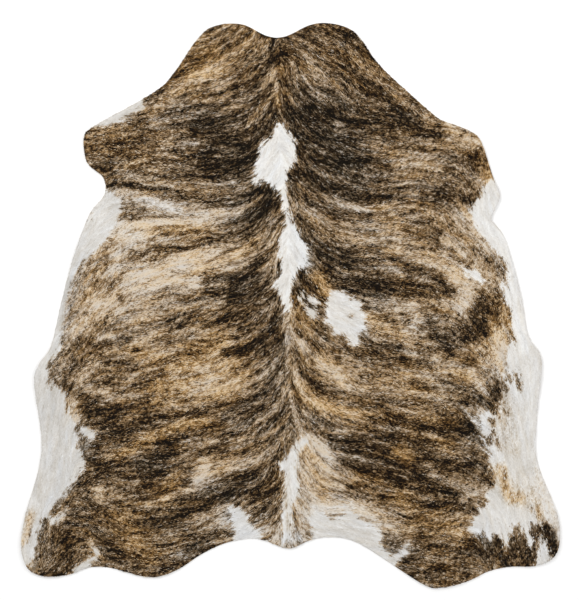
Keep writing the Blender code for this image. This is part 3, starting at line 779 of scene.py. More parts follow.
    (2.2, 27, (47,-86), (52,-88), (57,-90.5)), (1.9, 21, (45.5,-92), (50,-94)),
    (1.5, 48, (52,-93.5), (58,-95.5)), (1.9, 17, (52,-98.5), (56.5,-97)),
    (2.2, 20, (67.5,-88), (71.5,-89.5)), (2.6, 17, (76.5,-86.5), (78,-91), (79.5,-95)),
    (2.2, 20, (90,-82), (90.5,-87.5), (89,-94)), (1.9, 17, (95,-83.5), (96.5,-89), (97.5,-93.5)),
    (2.2, 23, (90.5,-82.5), (92,-86.5)), (2.6, 17, (95,-83), (96.5,-87.5), (97.5,-92)),
    (2.6, 67, (-4,-87.5), (-1,-89.5), (2,-87.5)),
)

# %% The touches: their width, how much lighter or darker they make the coat, and their points
TOUCHES = (
    # neck, left
    (3.3, -9, (-19,101), (-11,99)), (3, -8, (-47,83), (-41,85)), (4.5, -4, (-52,73), (-39,74)),
    (2.6, -5, (-8.5,82), (-7,76.5)), (3, 4, (-35,98), (-28,97)), (3, 6, (-5,96), (-11,90), (-13,85)),
    (2.6, 7, (-4,75), (-1.5,72.5)), (3, 8, (-63,69), (-57,71)), (3.3, 4, (-61,70), (-47,73)),
    (3, 4, (-39,93), (-34,97)), (3, 4, (-8,93), (-2,97)), (3.7, -5, (-11,80), (-7,73)),
    (2.6, 3, (-4.5,82.5), (-2.5,72)), (5.2, -2, (-26,93), (-15,80)),
    # neck, right
    (3.3, -7, (0,98), (3,91)), (4.5, -5, (8,97), (22,96)), (3, -8, (19,80), (25,79)),
    (6, -2, (13,91), (28,76)),
    # shoulder, left
    (3.3, -6, (-49,69), (-44,63)), (2.6, -6, (-36.5,62), (-31.5,62.5)), (3.3, -5, (-63,63), (-54,64)),
    (2.6, -6, (-75,58), (-72.5,54)), (2.6, -9, (-31.5,48), (-17,49.5)), (2.6, -5, (-41,52.5), (-35.5,51)),
    (2.6, -5, (-66.5,43), (-54,43.5)), (3.3, 5, (-72,63), (-69,60)), (2.6, 5, (-46.5,46), (-37.5,44)),
    (3, -7, (-16,47), (-11,44)), (3, -4, (-11,48), (-14,41)), (4.5, -3, (-34,48), (-13,47)),
    (4.5, -3, (-32,65), (-13,61)),
    # shoulder, right
    (3, -9, (23,61), (32,61)), (3.3, -11, (35,60), (45,61)), (3.7, -13, (9,52), (17,50), (25,48)),
    (3, -5, (15,70), (20,67)), (2.6, 5, (26,43), (39,44.5)), (2.6, 4, (42.5,49.5), (55.5,46.5)),
    (3, 8, (68,46), (72,47)), (2.6, 7, (70,60.5), (71.5,58)), (3, -5, (56,65), (62,64)),
    (2.6, -5, (61.5,54), (67,52)), (2.6, 8, (67,45), (71.5,46.5)), (3, 5, (59,60), (70,58)),
    (3.3, -5, (5,50), (20,44)), (3.7, -3, (10,66), (22,69)), (3, 4, (68,44), (73,46)),
    (4.5, 3, (52,66), (67,61)), (3, -4, (54,54), (58,52)), (4.5, -3, (39,65), (45,56)),
    (3.7, 3, (28,45), (39,43)),
    # armpit, left
    (2.6, -8, (-30.5,38), (-24.5,37)), (3, -5, (-11,35), (-6,31)),
    (2.2, 6, (-52,28.5), (-31.5,29.5), (-20.5,31.5)), (2.6, -5, (-52,24.5), (-41,21), (-28,23.5)),
    (3.3, 5, (-58,37), (-47,35)), (2.6, 5, (-50.5,28.5), (-33.5,29.5)),
    (3.7, 3, (-52,37), (-37,35), (-23,29)),
    # ribs, left
    (2.6, -7, (-68.5,16), (-66,16)), (3.3, 15, (-16,16), (-13,19), (-9,23)), (3, 9, (-8,8), (-6,6)),
    (3, 5, (-41,14), (-24,18)), (3, 5, (-61,13), (-58,11)), (3, 5, (-52,7), (-35,6)),
    (3, 6, (-78,3), (-74,8)), (3, -5, (-54,1), (-47,0)), (2.6, -8, (-33.5,1), (-27.5,2)),
    (2.6, 9, (-16.5,16), (-12.5,19)), (2.6, -8, (-68.5,15.5), (-66,17)), (3, -5, (-20,23), (-16,21)),
    (3, -5, (-8,16), (-7,20)), (3.3, -4, (-46,2), (-43,-1)), (3, 5, (-69,22), (-66,20)),
    (3.7, 3, (-61,14), (-59,2)), (2.2, 6, (-14,16), (-11.5,20.5)), (3, 5, (-40,3), (-35,6)),
    (3, 4, (-69,20), (-65,24)), (5.2, 4, (-61,14), (-48,8), (-34,6)),
    # waist, left
    (2.6, 6, (-84,-10.5), (-72.5,-6), (-63.5,-5.5)), (3, -8, (-48,-11), (-42,-10)),
    (2.6, -5, (-74.5,-13.5), (-59.5,-11.5)), (3, -5, (-28,-12), (-21,-11)), (3.3, -3, (-45,-11), (-40,-14)),
    (3, 4, (-8,-5), (-6,-6)), (6, -3, (-52,-10), (-26,-9), (-2,-15)),
    # loin, left
    (3.3, -9, (-13,-17), (-5,-13)), (2.6, -6, (-5,-26), (-4.5,-33.5)),
    (3, -5, (-44,-17), (-39,-25), (-37,-33)), (3, 8, (-83,-24), (-79,-26)), (2.6, 5, (-64,-22), (-59,-19)),
    (3, 5, (-51,-23), (-48,-30), (-47,-37)), (3, 5, (-32,-23), (-28,-32)), (3, -5, (-71,-31), (-60,-30)),
    (3.3, -4, (-8,-17), (-3,-21)), (3.3, 5, (-51,-27), (-50,-36)), (3, 4, (-74,-28), (-72,-32)),
    (3.3, 4, (-31,-35), (-22,-34)),
    # hip, left
    (3.3, 11, (-40,-46), (-34,-44)), (3, -6, (-25,-47), (-22,-42)), (3, 8, (-75,-55), (-69,-52)),
    (3.3, -5, (-60,-50), (-54,-56)), (3, -12, (-4,-53), (-1,-49)), (3, -9, (-84,-35), (-80,-37)),
    (3, -5, (-12,-40), (-8,-35)), (3, 4, (-37,-46), (-34,-43)),
    # rump, left
    (2.6, 5, (-66.5,-55.5), (-62,-58.5)), (3, -5, (-42,-56), (-40,-61)), (3.7, -14, (-72,-63), (-64,-65)),
    (3, -6, (-15,-55), (-6,-55)), (3, 5, (-37,-65), (-31,-65)), (3, 4, (-76,-71), (-67,-72)),
    (3, 9, (-87,-72), (-83,-71)), (3, -5, (-44,-55), (-41,-60)), (4.1, 4, (-32,-66), (-22,-63)),
    (3.3, -4, (-16,-67), (-12,-58)), (3, 5, (-75,-56), (-77,-63)), (5.2, 3, (-29,-61), (-15,-69)),
    (3, 3, (-71,-56), (-60,-56)), (3, 5, (-5,-60), (-2,-66)),
    # thigh, left
    (3.3, 10, (-89,-79), (-82,-81)), (3.3, -5, (-44,-74), (-41,-84)), (3, 5, (-64,-82), (-57,-82)),
    (3, 7, (-31,-84), (-26,-81)), (3.3, 8, (-29,-74), (-23,-84)), (3, 6, (-17,-77), (-13,-80)),
    (3.3, 4, (-16,-75), (-19,-86)), (4.5, -4, (-50,-75), (-44,-80)), (4.5, 2, (-31,-78), (-19,-85)),
    # hind leg, left
    (3, -6, (-76,-87), (-71,-89)), (2.6, -5, (-52,-87.5), (-48.5,-86)), (3, 7, (-60,-98), (-50,-98)),
    (2.6, 5, (-79.5,-97), (-76,-95.5)), (3.3, 17, (-96,-98), (-92,-96)), (3, 4, (-95,-96), (-92,-98)),
    # armpit, right
    (2.6, 6, (6,28.5), (9.5,21.5)), (2.6, -5, (41,38), (52,39), (63,37.5)),
    (3, 7, (30,34), (37,33), (46,29)), (3, 5, (64,27), (70,24)), (3, -6, (54,24), (58,22)),
    (2.6, -4, (26,23), (33.5,23)), (2.6, 7, (5.5,28), (9,22)), (2.6, 5, (32,33), (38,32.5)),
    (3.7, 4, (19,29), (23,26)), (3, 5, (7,26), (9,21)), (3, -5, (54,24), (60,26)),
    (3.3, 4, (68,27), (72,22)), (6, 2, (41,29), (56,22), (74,24)),
    # ribs, right
    (2.6, -6, (55.5,15.5), (60,16)), (2.6, 5, (33.5,13), (38,12.5)), (3, 5, (48,21), (50,11)),
    (3.7, 10, (46,3), (56,-1)), (3, -8, (20,3), (30,6), (40,3)), (3, -13, (7,2), (10,0)),
    (2.6, 4, (13,9.5), (15.5,6.5)), (3.3, 13, (68,3), (71,6)), (3.3, 16, (74,8), (78,6)),
    (3, -9, (7,3), (10,0)), (3.3, 5, (41,14), (49,8), (51,-3)), (3, 8, (68,3), (71,2)),
    (3, -5, (37,6), (40,2)), (3.3, 4, (31,21), (33,16)),
    # waist, right
    (3, 9, (77,-9), (78,-13)), (2.6, 6, (78,-2), (79.5,-6)), (3, 7, (28,-6), (32,-8)),
    (3, 9, (37,-7), (42,-10)), (2.6, 7, (39,-14), (44,-15)), (3, -5, (50,-7), (56,-6)),
    (3, -5, (61,-15), (67,-14)), (2.6, 6, (11,-7.5), (18.5,-13)), (3.3, 10, (20,-2), (29,-6)),
    (3, -9, (72,-9), (77,-10)), (3, 4, (0,-5), (1,-11)), (3, 5, (28,-4), (30,-10)),
    (3.3, 4, (36,-8), (45,-6)), (3, -4, (59,-15), (68,-14)), (3, -5, (37,-3), (33,-11)),
    (3, 5, (73,2), (78,-5)), (4.5, 4, (35,-9), (54,-12)),
    # loin, right
    (3.3, 7, (18,-16), (22,-20)), (3.3, 6, (18,-26), (21,-35)), (3.3, -14, (5,-20), (8,-26)),
    (2.6, 5, (-1,-23.5), (2,-32.5)), (3, -6, (32,-24), (38,-23)), (3, 9, (55,-23), (67,-26)),
    (3, 8, (71,-17), (73,-25), (70,-32)), (2.6, 5, (44.5,-28.5), (50,-28)),
    (2.6, -6, (31.5,-35), (44.5,-34.5), (55.5,-32.5)), (3, 7, (50,-29), (59,-27), (69,-29)),
    (2.6, -6, (75,-23.5), (78,-27)), (4.5, 4, (14,-21), (19,-35)), (3.3, -5, (36,-35), (46,-34)),
    (3, -5, (5,-22), (8,-29)), (2.2, 5, (1.5,-25), (3,-34.5)), (3.3, 3, (66,-21), (74,-19)),
    (2.6, 5, (20.5,-18.5), (22,-22)),
    # hip, right
    (3, -6, (62,-40), (66,-43)), (3.3, 7, (13,-42), (19,-47)), (3, 5, (20,-46), (28,-46)),
    (3, 6, (7,-51), (13,-53)), (2.2, 4, (31.5,-48.5), (39,-47)), (3.3, -10, (46,-49), (53,-53), (48,-56)),
    (3, -9, (67,-40), (70,-43)), (3, -5, (1,-46), (9,-49)), (3, -4, (51,-49), (55,-52)),
    (3.3, -5, (68,-40), (73,-44)), (3, 4, (72,-34), (74,-37)), (3, 4, (58,-42), (61,-44)),
    (3, -4, (62,-36), (68,-40)), (3, 3, (4,-36), (17,-40)), (3, 5, (15,-41), (20,-47)),
    # rump, right
    (3, -6, (30,-57), (36,-61)), (3, -6, (46,-63), (50,-68)), (3, -7, (62,-61), (67,-59)),
    (3, -5, (17,-58), (24,-56)), (2.6, 6, (23,-67), (27.5,-66.5)), (2.6, 5, (39,-64.5), (41,-68.5)),
    (3, -5, (48,-61), (53,-61)), (3, -5, (45,-66), (48,-70)), (3, -5, (19,-69), (23,-72)),
    (3.3, 3, (84,-66), (88,-72)), (6.7, -2, (35,-56), (52,-61), (71,-56)), (3.3, -4, (19,-69), (22,-72)),
    # thigh, right
    (3.3, 7, (36,-78), (43,-77)), (3.3, 12, (54,-85), (61,-82)), (3.3, 12, (9,-75), (17,-74)),
    (4.5, -4, (-3,-78), (11,-81)), (3.7, -4, (23,-77), (32,-82)), (4.5, 3, (39,-76), (45,-80)),
    (5.2, 2, (22,-74), (41,-78)), (4.5, -4, (-3,-78), (4,-84)),
    # hind leg, right
    (3, 7, (38,-85), (41,-89)), (3, 5, (46,-98), (52,-95)), (3, 8, (70,-99), (74,-97)),
    (3, 9, (33,-87), (37,-90)), (3, 5, (69,-98), (73,-100)), (3.3, 3, (63,-88), (66,-90)),
    (3.7, -4, (46,-103), (56,-101)), (3.3, 4, (81,-92), (85,-93)), (3.3, 3, (72,-98), (77,-97)),
    (3.3, -4, (80,-95), (89,-89)), (3.7, -3, (72,-91), (91,-93)),
)

# %% [markdown]
# ## From the chart to the coat
#
# Painted alone, the chart would look like a poster. The combed noise breaks it up: broad wavering first,
# then streaks, single locks and flecks, each finer than the one before it.

# %% The tone of the brown coat at every grid point
BASE_TONE = 0.39
CHART_CONTRAST = 1.25  # how far the chart's light and dark are spread
CHART_SHIFT = -0.046  # how much lighter the whole coat is made
BANDS_GRAIN = 0.020
STREAK_GRAIN = 0.115
STREAKS_FADE = (20 * CM, 80 * CM)  # from the backbone, where the streaks start and end getting weaker
STREAKS_LEFT = 0.55
LOCK_GRAIN = 0.075
FLECK_GRAIN = 0.055
BRUSH_REACH = 2.6  # in widths


def stroke_cover(width, points):
    """The part of the grid near a stroke, and how much the stroke covers there."""
    line = np.array(points) * CM
    near = window(line, BRUSH_REACH * width * CM)
    return near, np.exp(-((gap_to_path(line, near) / (width * CM)) ** 2))


def brush(field, table):
    """Pulls the field towards each stroke's value, along the stroke, and returns how many there were."""
    for width, target, *points in table:
        near, cover = stroke_cover(width, points)
        field[near] += (target * PERCENT - field[near]) * cover
    return len(table)


def touch(field, table):
    """Adds each stroke's value to the field, along the stroke."""
    for width, more, *points in table:
        near, cover = stroke_cover(width, points)
        field[near] += more * PERCENT * cover


chart = np.full(grid_x.shape, BASE_TONE)
stroke_count = brush(chart, WASHES) + brush(chart, BANDS)
touch(chart, TOUCHES)
brown_tone = BASE_TONE + CHART_SHIFT + CHART_CONTRAST * (chart - BASE_TONE)
streak_share = np.interp(np.abs(grid_x - backbone_x), STREAKS_FADE, (1, STREAKS_LEFT))
brown_tone += BANDS_GRAIN * bands_noise + STREAK_GRAIN * streak_share * streak_noise
brown_tone += LOCK_GRAIN * lock_noise + FLECK_GRAIN * fleck_noise
print("strokes:", stroke_count, "mean tone:", round(float(brown_tone[on_hide].mean()), 3))

# %% [markdown]
# ## The white areas
#
# The belly edges, the patches on the back and the rump are white, with ragged borders where white and brown
# locks reach into each other. Each area is a short outline with its own brightness, and where it lies deeper
# inside the outline than the noise can reach, it is white all through. A few touches make the white lighter
# at the waist, and darker at the belly edges as painted shade where those edges wave off the floor. White
# hairs also stray out of most areas, and turn the brown beside them to cream. The small spots and lines are
# the other way round: brown left in the white. In some places the two colours are mixed hair by hair, with
# no border at all. There, soft strokes add white hairs to the brown, or brown and tan hairs to the white, as
# in the stains on the right thigh and at the left edge.

# %% The white areas: their brightness, how far they raise the tone beside them, and their outline
WHITE_AREAS = {
    "withers diamond": (87, 0, (-4.5,68), (-6,65), (-7.5,62.5), (-9.5,61), (-11.5,59.5), (-12.5,55.5),
        (-13,53), (-14,50.5), (-13,49), (-12.5,47.5), (-14,46.5), (-13.5,45), (-11.5,46), (-10,46.5),
        (-9,45.5), (-7,44), (-4.5,42.5), (-3,42), (-1.5,45), (-1,47.5), (-0.5,50.5), (1,52.5), (2.5,54),
        (1.5,56.5), (2.5,59), (1.5,62.5), (-1,65), (-3,66.5)),
    "backbone strip": (86, 6, (-4.5,44.5), (-3.5,39), (-2.5,34.5), (-2.5,28.5), (0.5,28.5), (0,34.5),
        (-1,39), (-1.5,44.5)),
    "back patch": (86, 5, (-2.5,31), (-3,28.5), (-4,26), (-4.5,23), (-4.5,20), (-4,16), (-4,13), (-4,11),
        (-5.5,9), (-7,7), (-7,6), (-5.5,5.5), (-4,3), (-3,1), (-2.5,-2.5), (-0.5,-3), (0,-0.5), (0.5,4),
        (0.5,7), (1,10), (2.5,11.5), (3.5,13), (5.5,14), (7.5,14.5), (6.5,16), (6.5,19.5), (6,22),
        (4.5,24.5), (3.5,27.5), (2,29.5), (0.5,31.5)),
    "splash": (84, 16, (13.5,2.5), (15,5.5), (17,5.5), (18.5,5), (20.5,6), (21,4.5), (22,2), (23.5,2.5),
        (25.5,2), (26.5,0.5), (27,-1.5), (28,-3.5), (28,-7), (28,-9), (26,-10), (25,-10.5), (26,-12),
        (25.5,-14), (23.5,-15), (22,-13.5), (20.5,-11.5), (19,-10.5), (17,-11.5), (16,-11), (16.5,-9),
        (15,-7), (13,-6), (13.5,-3), (13,0.5)),
    "small splash": (80, 4, (6,2.5), (7.5,3.5), (9.5,2.5), (10.5,1), (9.5,-0.5), (8,0), (6.5,1)),
    "belly streak right": (88, 10, (64,15), (67,14), (70,12.5), (72.5,9.5), (71.5,8), (67.5,10), (64.5,12)),
    "left armpit and belly": (80, 12, (-85.5,43), (-69.5,43), (-67,42.5), (-65.5,41), (-63.5,39), (-62.5,37),
        (-63,34.5), (-64,32), (-65,29.5), (-67,26.5), (-68.5,25), (-71,22), (-73,20), (-75,18), (-77.5,15.5),
        (-79.5,13), (-81,10.5), (-82,7.5), (-83,4.5), (-84,1), (-84,-2.5), (-84.5,-7.5), (-85.5,-13),
        (-85.5,-16.5), (-88,-18.5), (-89.5,-20.5), (-90.5,-22.5), (-90,-26.5), (-89,-28), (-87,-29.5),
        (-85,-31.5), (-83.5,-33), (-83.5,-36.5), (-82.5,-40), (-81,-42.5), (-79.5,-44), (-80,-46.5),
        (-79.5,-48.5), (-79,-51.5), (-79.5,-53.5), (-78,-54.5), (-76.5,-56.5), (-76.5,-59), (-77.5,-61.5),
        (-79.5,-64.5), (-82,-67), (-83.5,-69), (-84.5,-71), (-86.5,-72), (-87,-73.5), (-88.5,-75),
        (-89.5,-77), (-88.5,-79), (-85.5,-78), (-84,-77), (-84,-78), (-85.5,-79), (-87,-81), (-88.5,-81),
        (-90.5,-79.5), (-92.5,-79), (-92.5,-82), (-94,-84.5), (-94,-87.5), (-94.5,-91), (-95.5,-94),
        (-97,-96.5), (-104.5,-102), (-106,-35)),
    "right armpit and belly": (84, 12, (85.5,46.5), (74.5,46.5), (73,45), (71.5,43.5), (71,40.5), (69,39),
        (67,37), (67,35), (68,31.5), (69,28.5), (71,26), (73,23), (76,20.5), (77.5,18.5), (79.5,15),
        (80.5,11.5), (80.5,7), (79,9), (78,7.5), (79,5.5), (79.5,2), (81,-0.5), (82,-3), (82,-6), (82,-9),
        (83,-12), (83.5,-14), (81.5,-13), (80.5,-15), (80.5,-18.5), (80.5,-22), (79.5,-24), (79,-26.5),
        (79.5,-30), (79,-32.5), (78.5,-36), (78,-38.5), (77,-40.5), (75.5,-41), (74,-39.5), (72.5,-39.5),
        (71,-40.5), (69.5,-40), (68.5,-41), (68.5,-42.5), (68.5,-44), (70,-46), (71,-48), (72,-50),
        (72.5,-53), (73.5,-54.5), (74.5,-56), (74,-58), (74.5,-60), (76,-62), (76.5,-65), (76,-67),
        (74.5,-68.5), (73,-69.5), (73,-71.5), (73.5,-73), (72,-75), (70.5,-75.5), (69.5,-77.5), (68,-79.5),
        (67,-81.5), (66,-83.5), (68.5,-85.5), (70.5,-86), (71.5,-84.5), (73,-86.5), (74.5,-87.5), (75.5,-85),
        (77.5,-85.5), (79,-87), (80.5,-90.5), (81,-90.5), (81,-87.5), (81.5,-86), (82.5,-83), (83,-81.5),
        (84.5,-81.5), (86,-83), (87.5,-86), (88.5,-89), (89.5,-89), (90,-87.5), (89,-85), (89,-83),
        (89.5,-80.5), (90.5,-81.5), (92,-81.5), (93.5,-83), (93.5,-81), (92.5,-79), (91,-76.5), (90,-74.5),
        (92,-75.5), (93.5,-77.5), (95,-80), (97,-81.5), (98.5,-84), (99.5,-87.5), (106,-87.5), (106,-83.5),
        (104,-35), (100.5,2)),
    "belly hole left": (80, 10, (-78,-45), (-75,-45.5), (-72.5,-47), (-73.5,-49.5), (-76,-49.5), (-78,-48)),
    "hind leg slit right": (84, 8, (93.5,-85), (95,-87.5), (96,-90.5), (97.5,-95.5), (95,-99), (91,-97.5),
        (91,-95), (92,-92.5), (93,-89.5), (93,-86.5)),
    "neck edge left": (78, 14, (-74.5,66), (-71.5,66.5), (-68,67), (-64,68.5), (-60.5,70), (-57,72),
        (-54.5,73.5), (-55,76), (-56.5,78.5), (-67,74), (-73.5,69.5)),
    "rump": (84, 12, (6,-48.5), (4.5,-49), (3.5,-50.5), (2,-51.5), (1,-52.5), (0,-54.5), (-1.5,-56.5),
        (-2.5,-58), (-5,-58.5), (-4,-60), (-2.5,-62), (-2,-65), (-2,-68.5), (-3,-71.5), (-3,-76), (-3,-80.5),
        (-2.5,-84.5), (-2.5,-87.5), (0.5,-87.5), (0.5,-84.5), (0.5,-80), (0.5,-75.5), (1.5,-72), (3,-71.5),
        (3.5,-68.5), (3,-65), (2.5,-61.5), (2.5,-57.5), (3.5,-54.5), (4.5,-52.5), (7,-51)),
    "rump edge": (82, 24, (7.5,-86), (8,-82.5), (7.5,-79), (9,-77), (12,-76.5), (14.5,-78.5), (16.5,-79),
        (19,-77.5), (22,-76.5), (25,-77.5), (27,-79.5), (29.5,-81.5), (31.5,-83), (34,-84), (34,-86),
        (33,-87.5), (34,-89.5), (35.5,-92), (38,-93), (40,-92), (42,-90), (44,-89), (43.5,-92), (41.5,-94),
        (40,-95.5), (38,-98.5), (29.5,-95), (18.5,-89), (7.5,-89)),
    "rump notch left": (84, 12, (-23,-73.5), (-21,-75), (-18.5,-75), (-17,-76.5), (-15.5,-78.5), (-16,-80.5),
        (-14.5,-82), (-13,-83.5), (-10.5,-86), (-8.5,-87.5), (-11.5,-90.5), (-23,-89.5), (-21.5,-87.5),
        (-20.5,-85), (-21.5,-81.5), (-22.5,-78), (-23.5,-75.5)),
    "hind leg notch left": (80, 8, (-73.5,-90), (-72,-90), (-71,-92), (-72,-94.5), (-74.5,-95), (-73.5,-99),
        (-80,-101.5), (-81,-98), (-79,-96), (-76,-95), (-73.5,-93.5)),
    "small splash below": (78, 4, (6,-0.5), (8.5,-0.5), (10,-2), (9.5,-5), (7.5,-5), (6,-2.5)),
    "small splash left": (78, 2, (3.5,5.5), (4.5,5), (5,2.5), (4.5,1), (3.5,2.5)),
}
BROWN_LEFT = (  # radius, and the points of a line, or of a spot twice
    # armpit left
    (0.8, (-75,34.5), (-74.5,33)),
    # belly left
    (1.1, (-96.5,-78.5), (-97.5,-83), (-99,-87.5)), (0.5, (-89.5,-27), (-89.5,-31)),
    (0.4, (-82.5,-37.5), (-82.5,-39.5)), (0.6, (-79.5,-51), (-79,-53)),
    # belly right
    (0.9, (80.5,-25.5), (81.5,-28)), (0.9, (83.5,-26), (84,-27)), (1.1, (84.5,-28), (85,-30.5)),
    (0.6, (80,-29.5), (81,-31)), (0.4, (80,-39.5), (80.5,-41)), (0.6, (75.5,-47), (77,-50), (78,-53.5)),
    (1.2, (74.5,-42.5), (75.5,-44)), (1.4, (69,-42.5), (69.5,-43.5)), (1.3, (73.5,-50), (74,-51.5)),
    (0.4, (77.5,-40.5), (78,-43)),
    # stain right
    (0.4, (89,-75.5), (89.5,-76.5)),
    # splash
    (0.1, (23,-3.5), (23,-3.5)),
)

# %% The touches in the white: their width, how much lighter or darker they make it, and their points
WHITE_TOUCHES_AND_EDGE_SHADE = (
    (3.7, 5, (79,24.5), (81.5,2), (85.5,-15)), (3.3, 3, (70.5,36), (73,30)),
    (3.7, 3, (-95.5,-74.5), (-94.5,-96.5)), (3, 3, (-72.5,37.5), (-68.5,28.5)),
    # painted shade: the darker touches, at the belly edges, stand for the shade where those edges wave
    (2.2, -8, (-82.5,8.5), (-85,-7.5)), (3.3, -4, (-88.5,-29.5), (-86.5,-42)),
    (3.3, -3, (78,-55.5), (89,-61.5)), (2.2, -4, (73.5,-66), (76,-72.5)), (2.2, -3, (71.5,-48.5), (73,-54)),
    (3, -2, (-72.5,44.5), (-66.5,40.5)),
)

# %% The mixed places: their width, how many more hairs in a hundred are white, and their points
MIXED = (
    # right thigh
    (0.7, -85, (79.5,-60.5), (79.5,-64.5), (80,-67.5), (81.5,-70)),
    (1.5, -95, (78,-60), (79,-65), (80.5,-68.5)), (1.9, -115, (80.5,-69), (82,-71.5), (85,-71.5)),
    (3.3, -22, (78,-62), (82.5,-68), (87,-72.5)), (4.5, -38, (93,-64.5), (96.5,-73), (98,-80.5)),
    (3, -25, (90.5,-69.5), (93.5,-75.5)),
    # left armpit
    (1.5, 42, (-53.5,38), (-48.5,37), (-41,34.5)), (1.5, 55, (-58.5,26), (-56,25.5)),
    (2.6, 22, (-66.5,28.5), (-59.5,27.5)),
    # left thigh
    (1.9, 35, (-86.5,-72.5), (-83.5,-68.5)), (1.5, 30, (-98,-95), (-95.5,-96.5)),
    # left edge
    (1.9, -42, (-96.5,-77.5), (-97.5,-83), (-98.5,-87.5)),
    # right belly
    (1.9, -30, (79.5,-32.5), (79,-39), (79,-46.5), (79,-52.5)),
    (0.6, 65, (64,-38), (66,-40), (67.5,-42.5), (69.5,-45), (71.5,-48)), (2.2, -15, (82,-33.5), (83,-54)),
    # beside the rump patch
    (2.2, 36, (3,-70), (5,-73.5), (8,-77)), (1.9, 40, (8.5,-75.5), (15.5,-74.5), (22,-74)),
    (1.9, 40, (21,-75.5), (26,-76), (29.5,-79), (32.5,-81.5)), (1.1, 25, (13.5,-77.5), (20.5,-77.5)),
    (1.5, 22, (6,-77.5), (7,-83.5)), (1.9, 20, (3,-86.5), (5,-86), (7.5,-84.5)),
    (1.5, 15, (-7.5,-86.5), (-5.5,-87.5)),
    # tail slit
    (0.4, -55, (-1.5,-70), (-1.5,-75.5)), (0.4, -22, (-1.5,-75.5), (-1,-83.5)),
    # beside the splash
    (1.5, 45, (16,-9.5), (20,-9.5)), (1.1, 35, (10.5,0), (11,-2.5)), (0.9, -60, (10.5,0), (12,-3)),
)

# %% Where the coat is white, and how bright
CREAM_REACH = 0.9 * CM
RAGGED_STREAK = 0.25 * CM
RAGGED_LOCK = 0.28 * CM
RAGGED_FLECK = 0.22 * CM
LONE_WHITE = 0.85  # how bright white hairs are away from the white areas
WHITE_GRAIN = 0.018
WHITE_STREAK = 0.015

white_depth = np.full(grid_x.shape, -DEPTH_REACH)
white_tone = np.full(grid_x.shape, LONE_WHITE)
for bright, rise, *outline in WHITE_AREAS.values():
    depth = depth_inside(np.array(outline) * CM)
    brown_tone += rise * PERCENT * np.exp(np.minimum(depth, 0) / CREAM_REACH)
    deeper = depth > white_depth
    white_depth[deeper] = depth[deeper]
    white_tone[deeper] = bright * PERCENT
for radius, *points in BROWN_LEFT:
    line = np.array(points) * CM
    near = window(line, DEPTH_REACH)
    white_depth[near] = np.minimum(white_depth[near], gap_to_path(line, near) - radius * CM)
mixed_white = np.zeros(grid_x.shape)
touch(mixed_white, MIXED)
touch(white_tone, WHITE_TOUCHES_AND_EDGE_SHADE)
white_depth += RAGGED_STREAK * streak_noise + RAGGED_LOCK * lock_noise + RAGGED_FLECK * fleck_noise
white_tone += WHITE_GRAIN * lock_noise + WHITE_STREAK * streak_noise
print("white share:", round(float((white_depth[on_hide] > 0).mean()), 3))

# %% [markdown]
# ## The rust tint
#
# In places the tan turns to a warm rust, and over the shoulders the dark hair is a cooler, sooty brown. The
# tint is brushed on in the same way as the bands, in percent: above 0 it is warmer than the coat's own
# brown, and under 0 it is cooler.

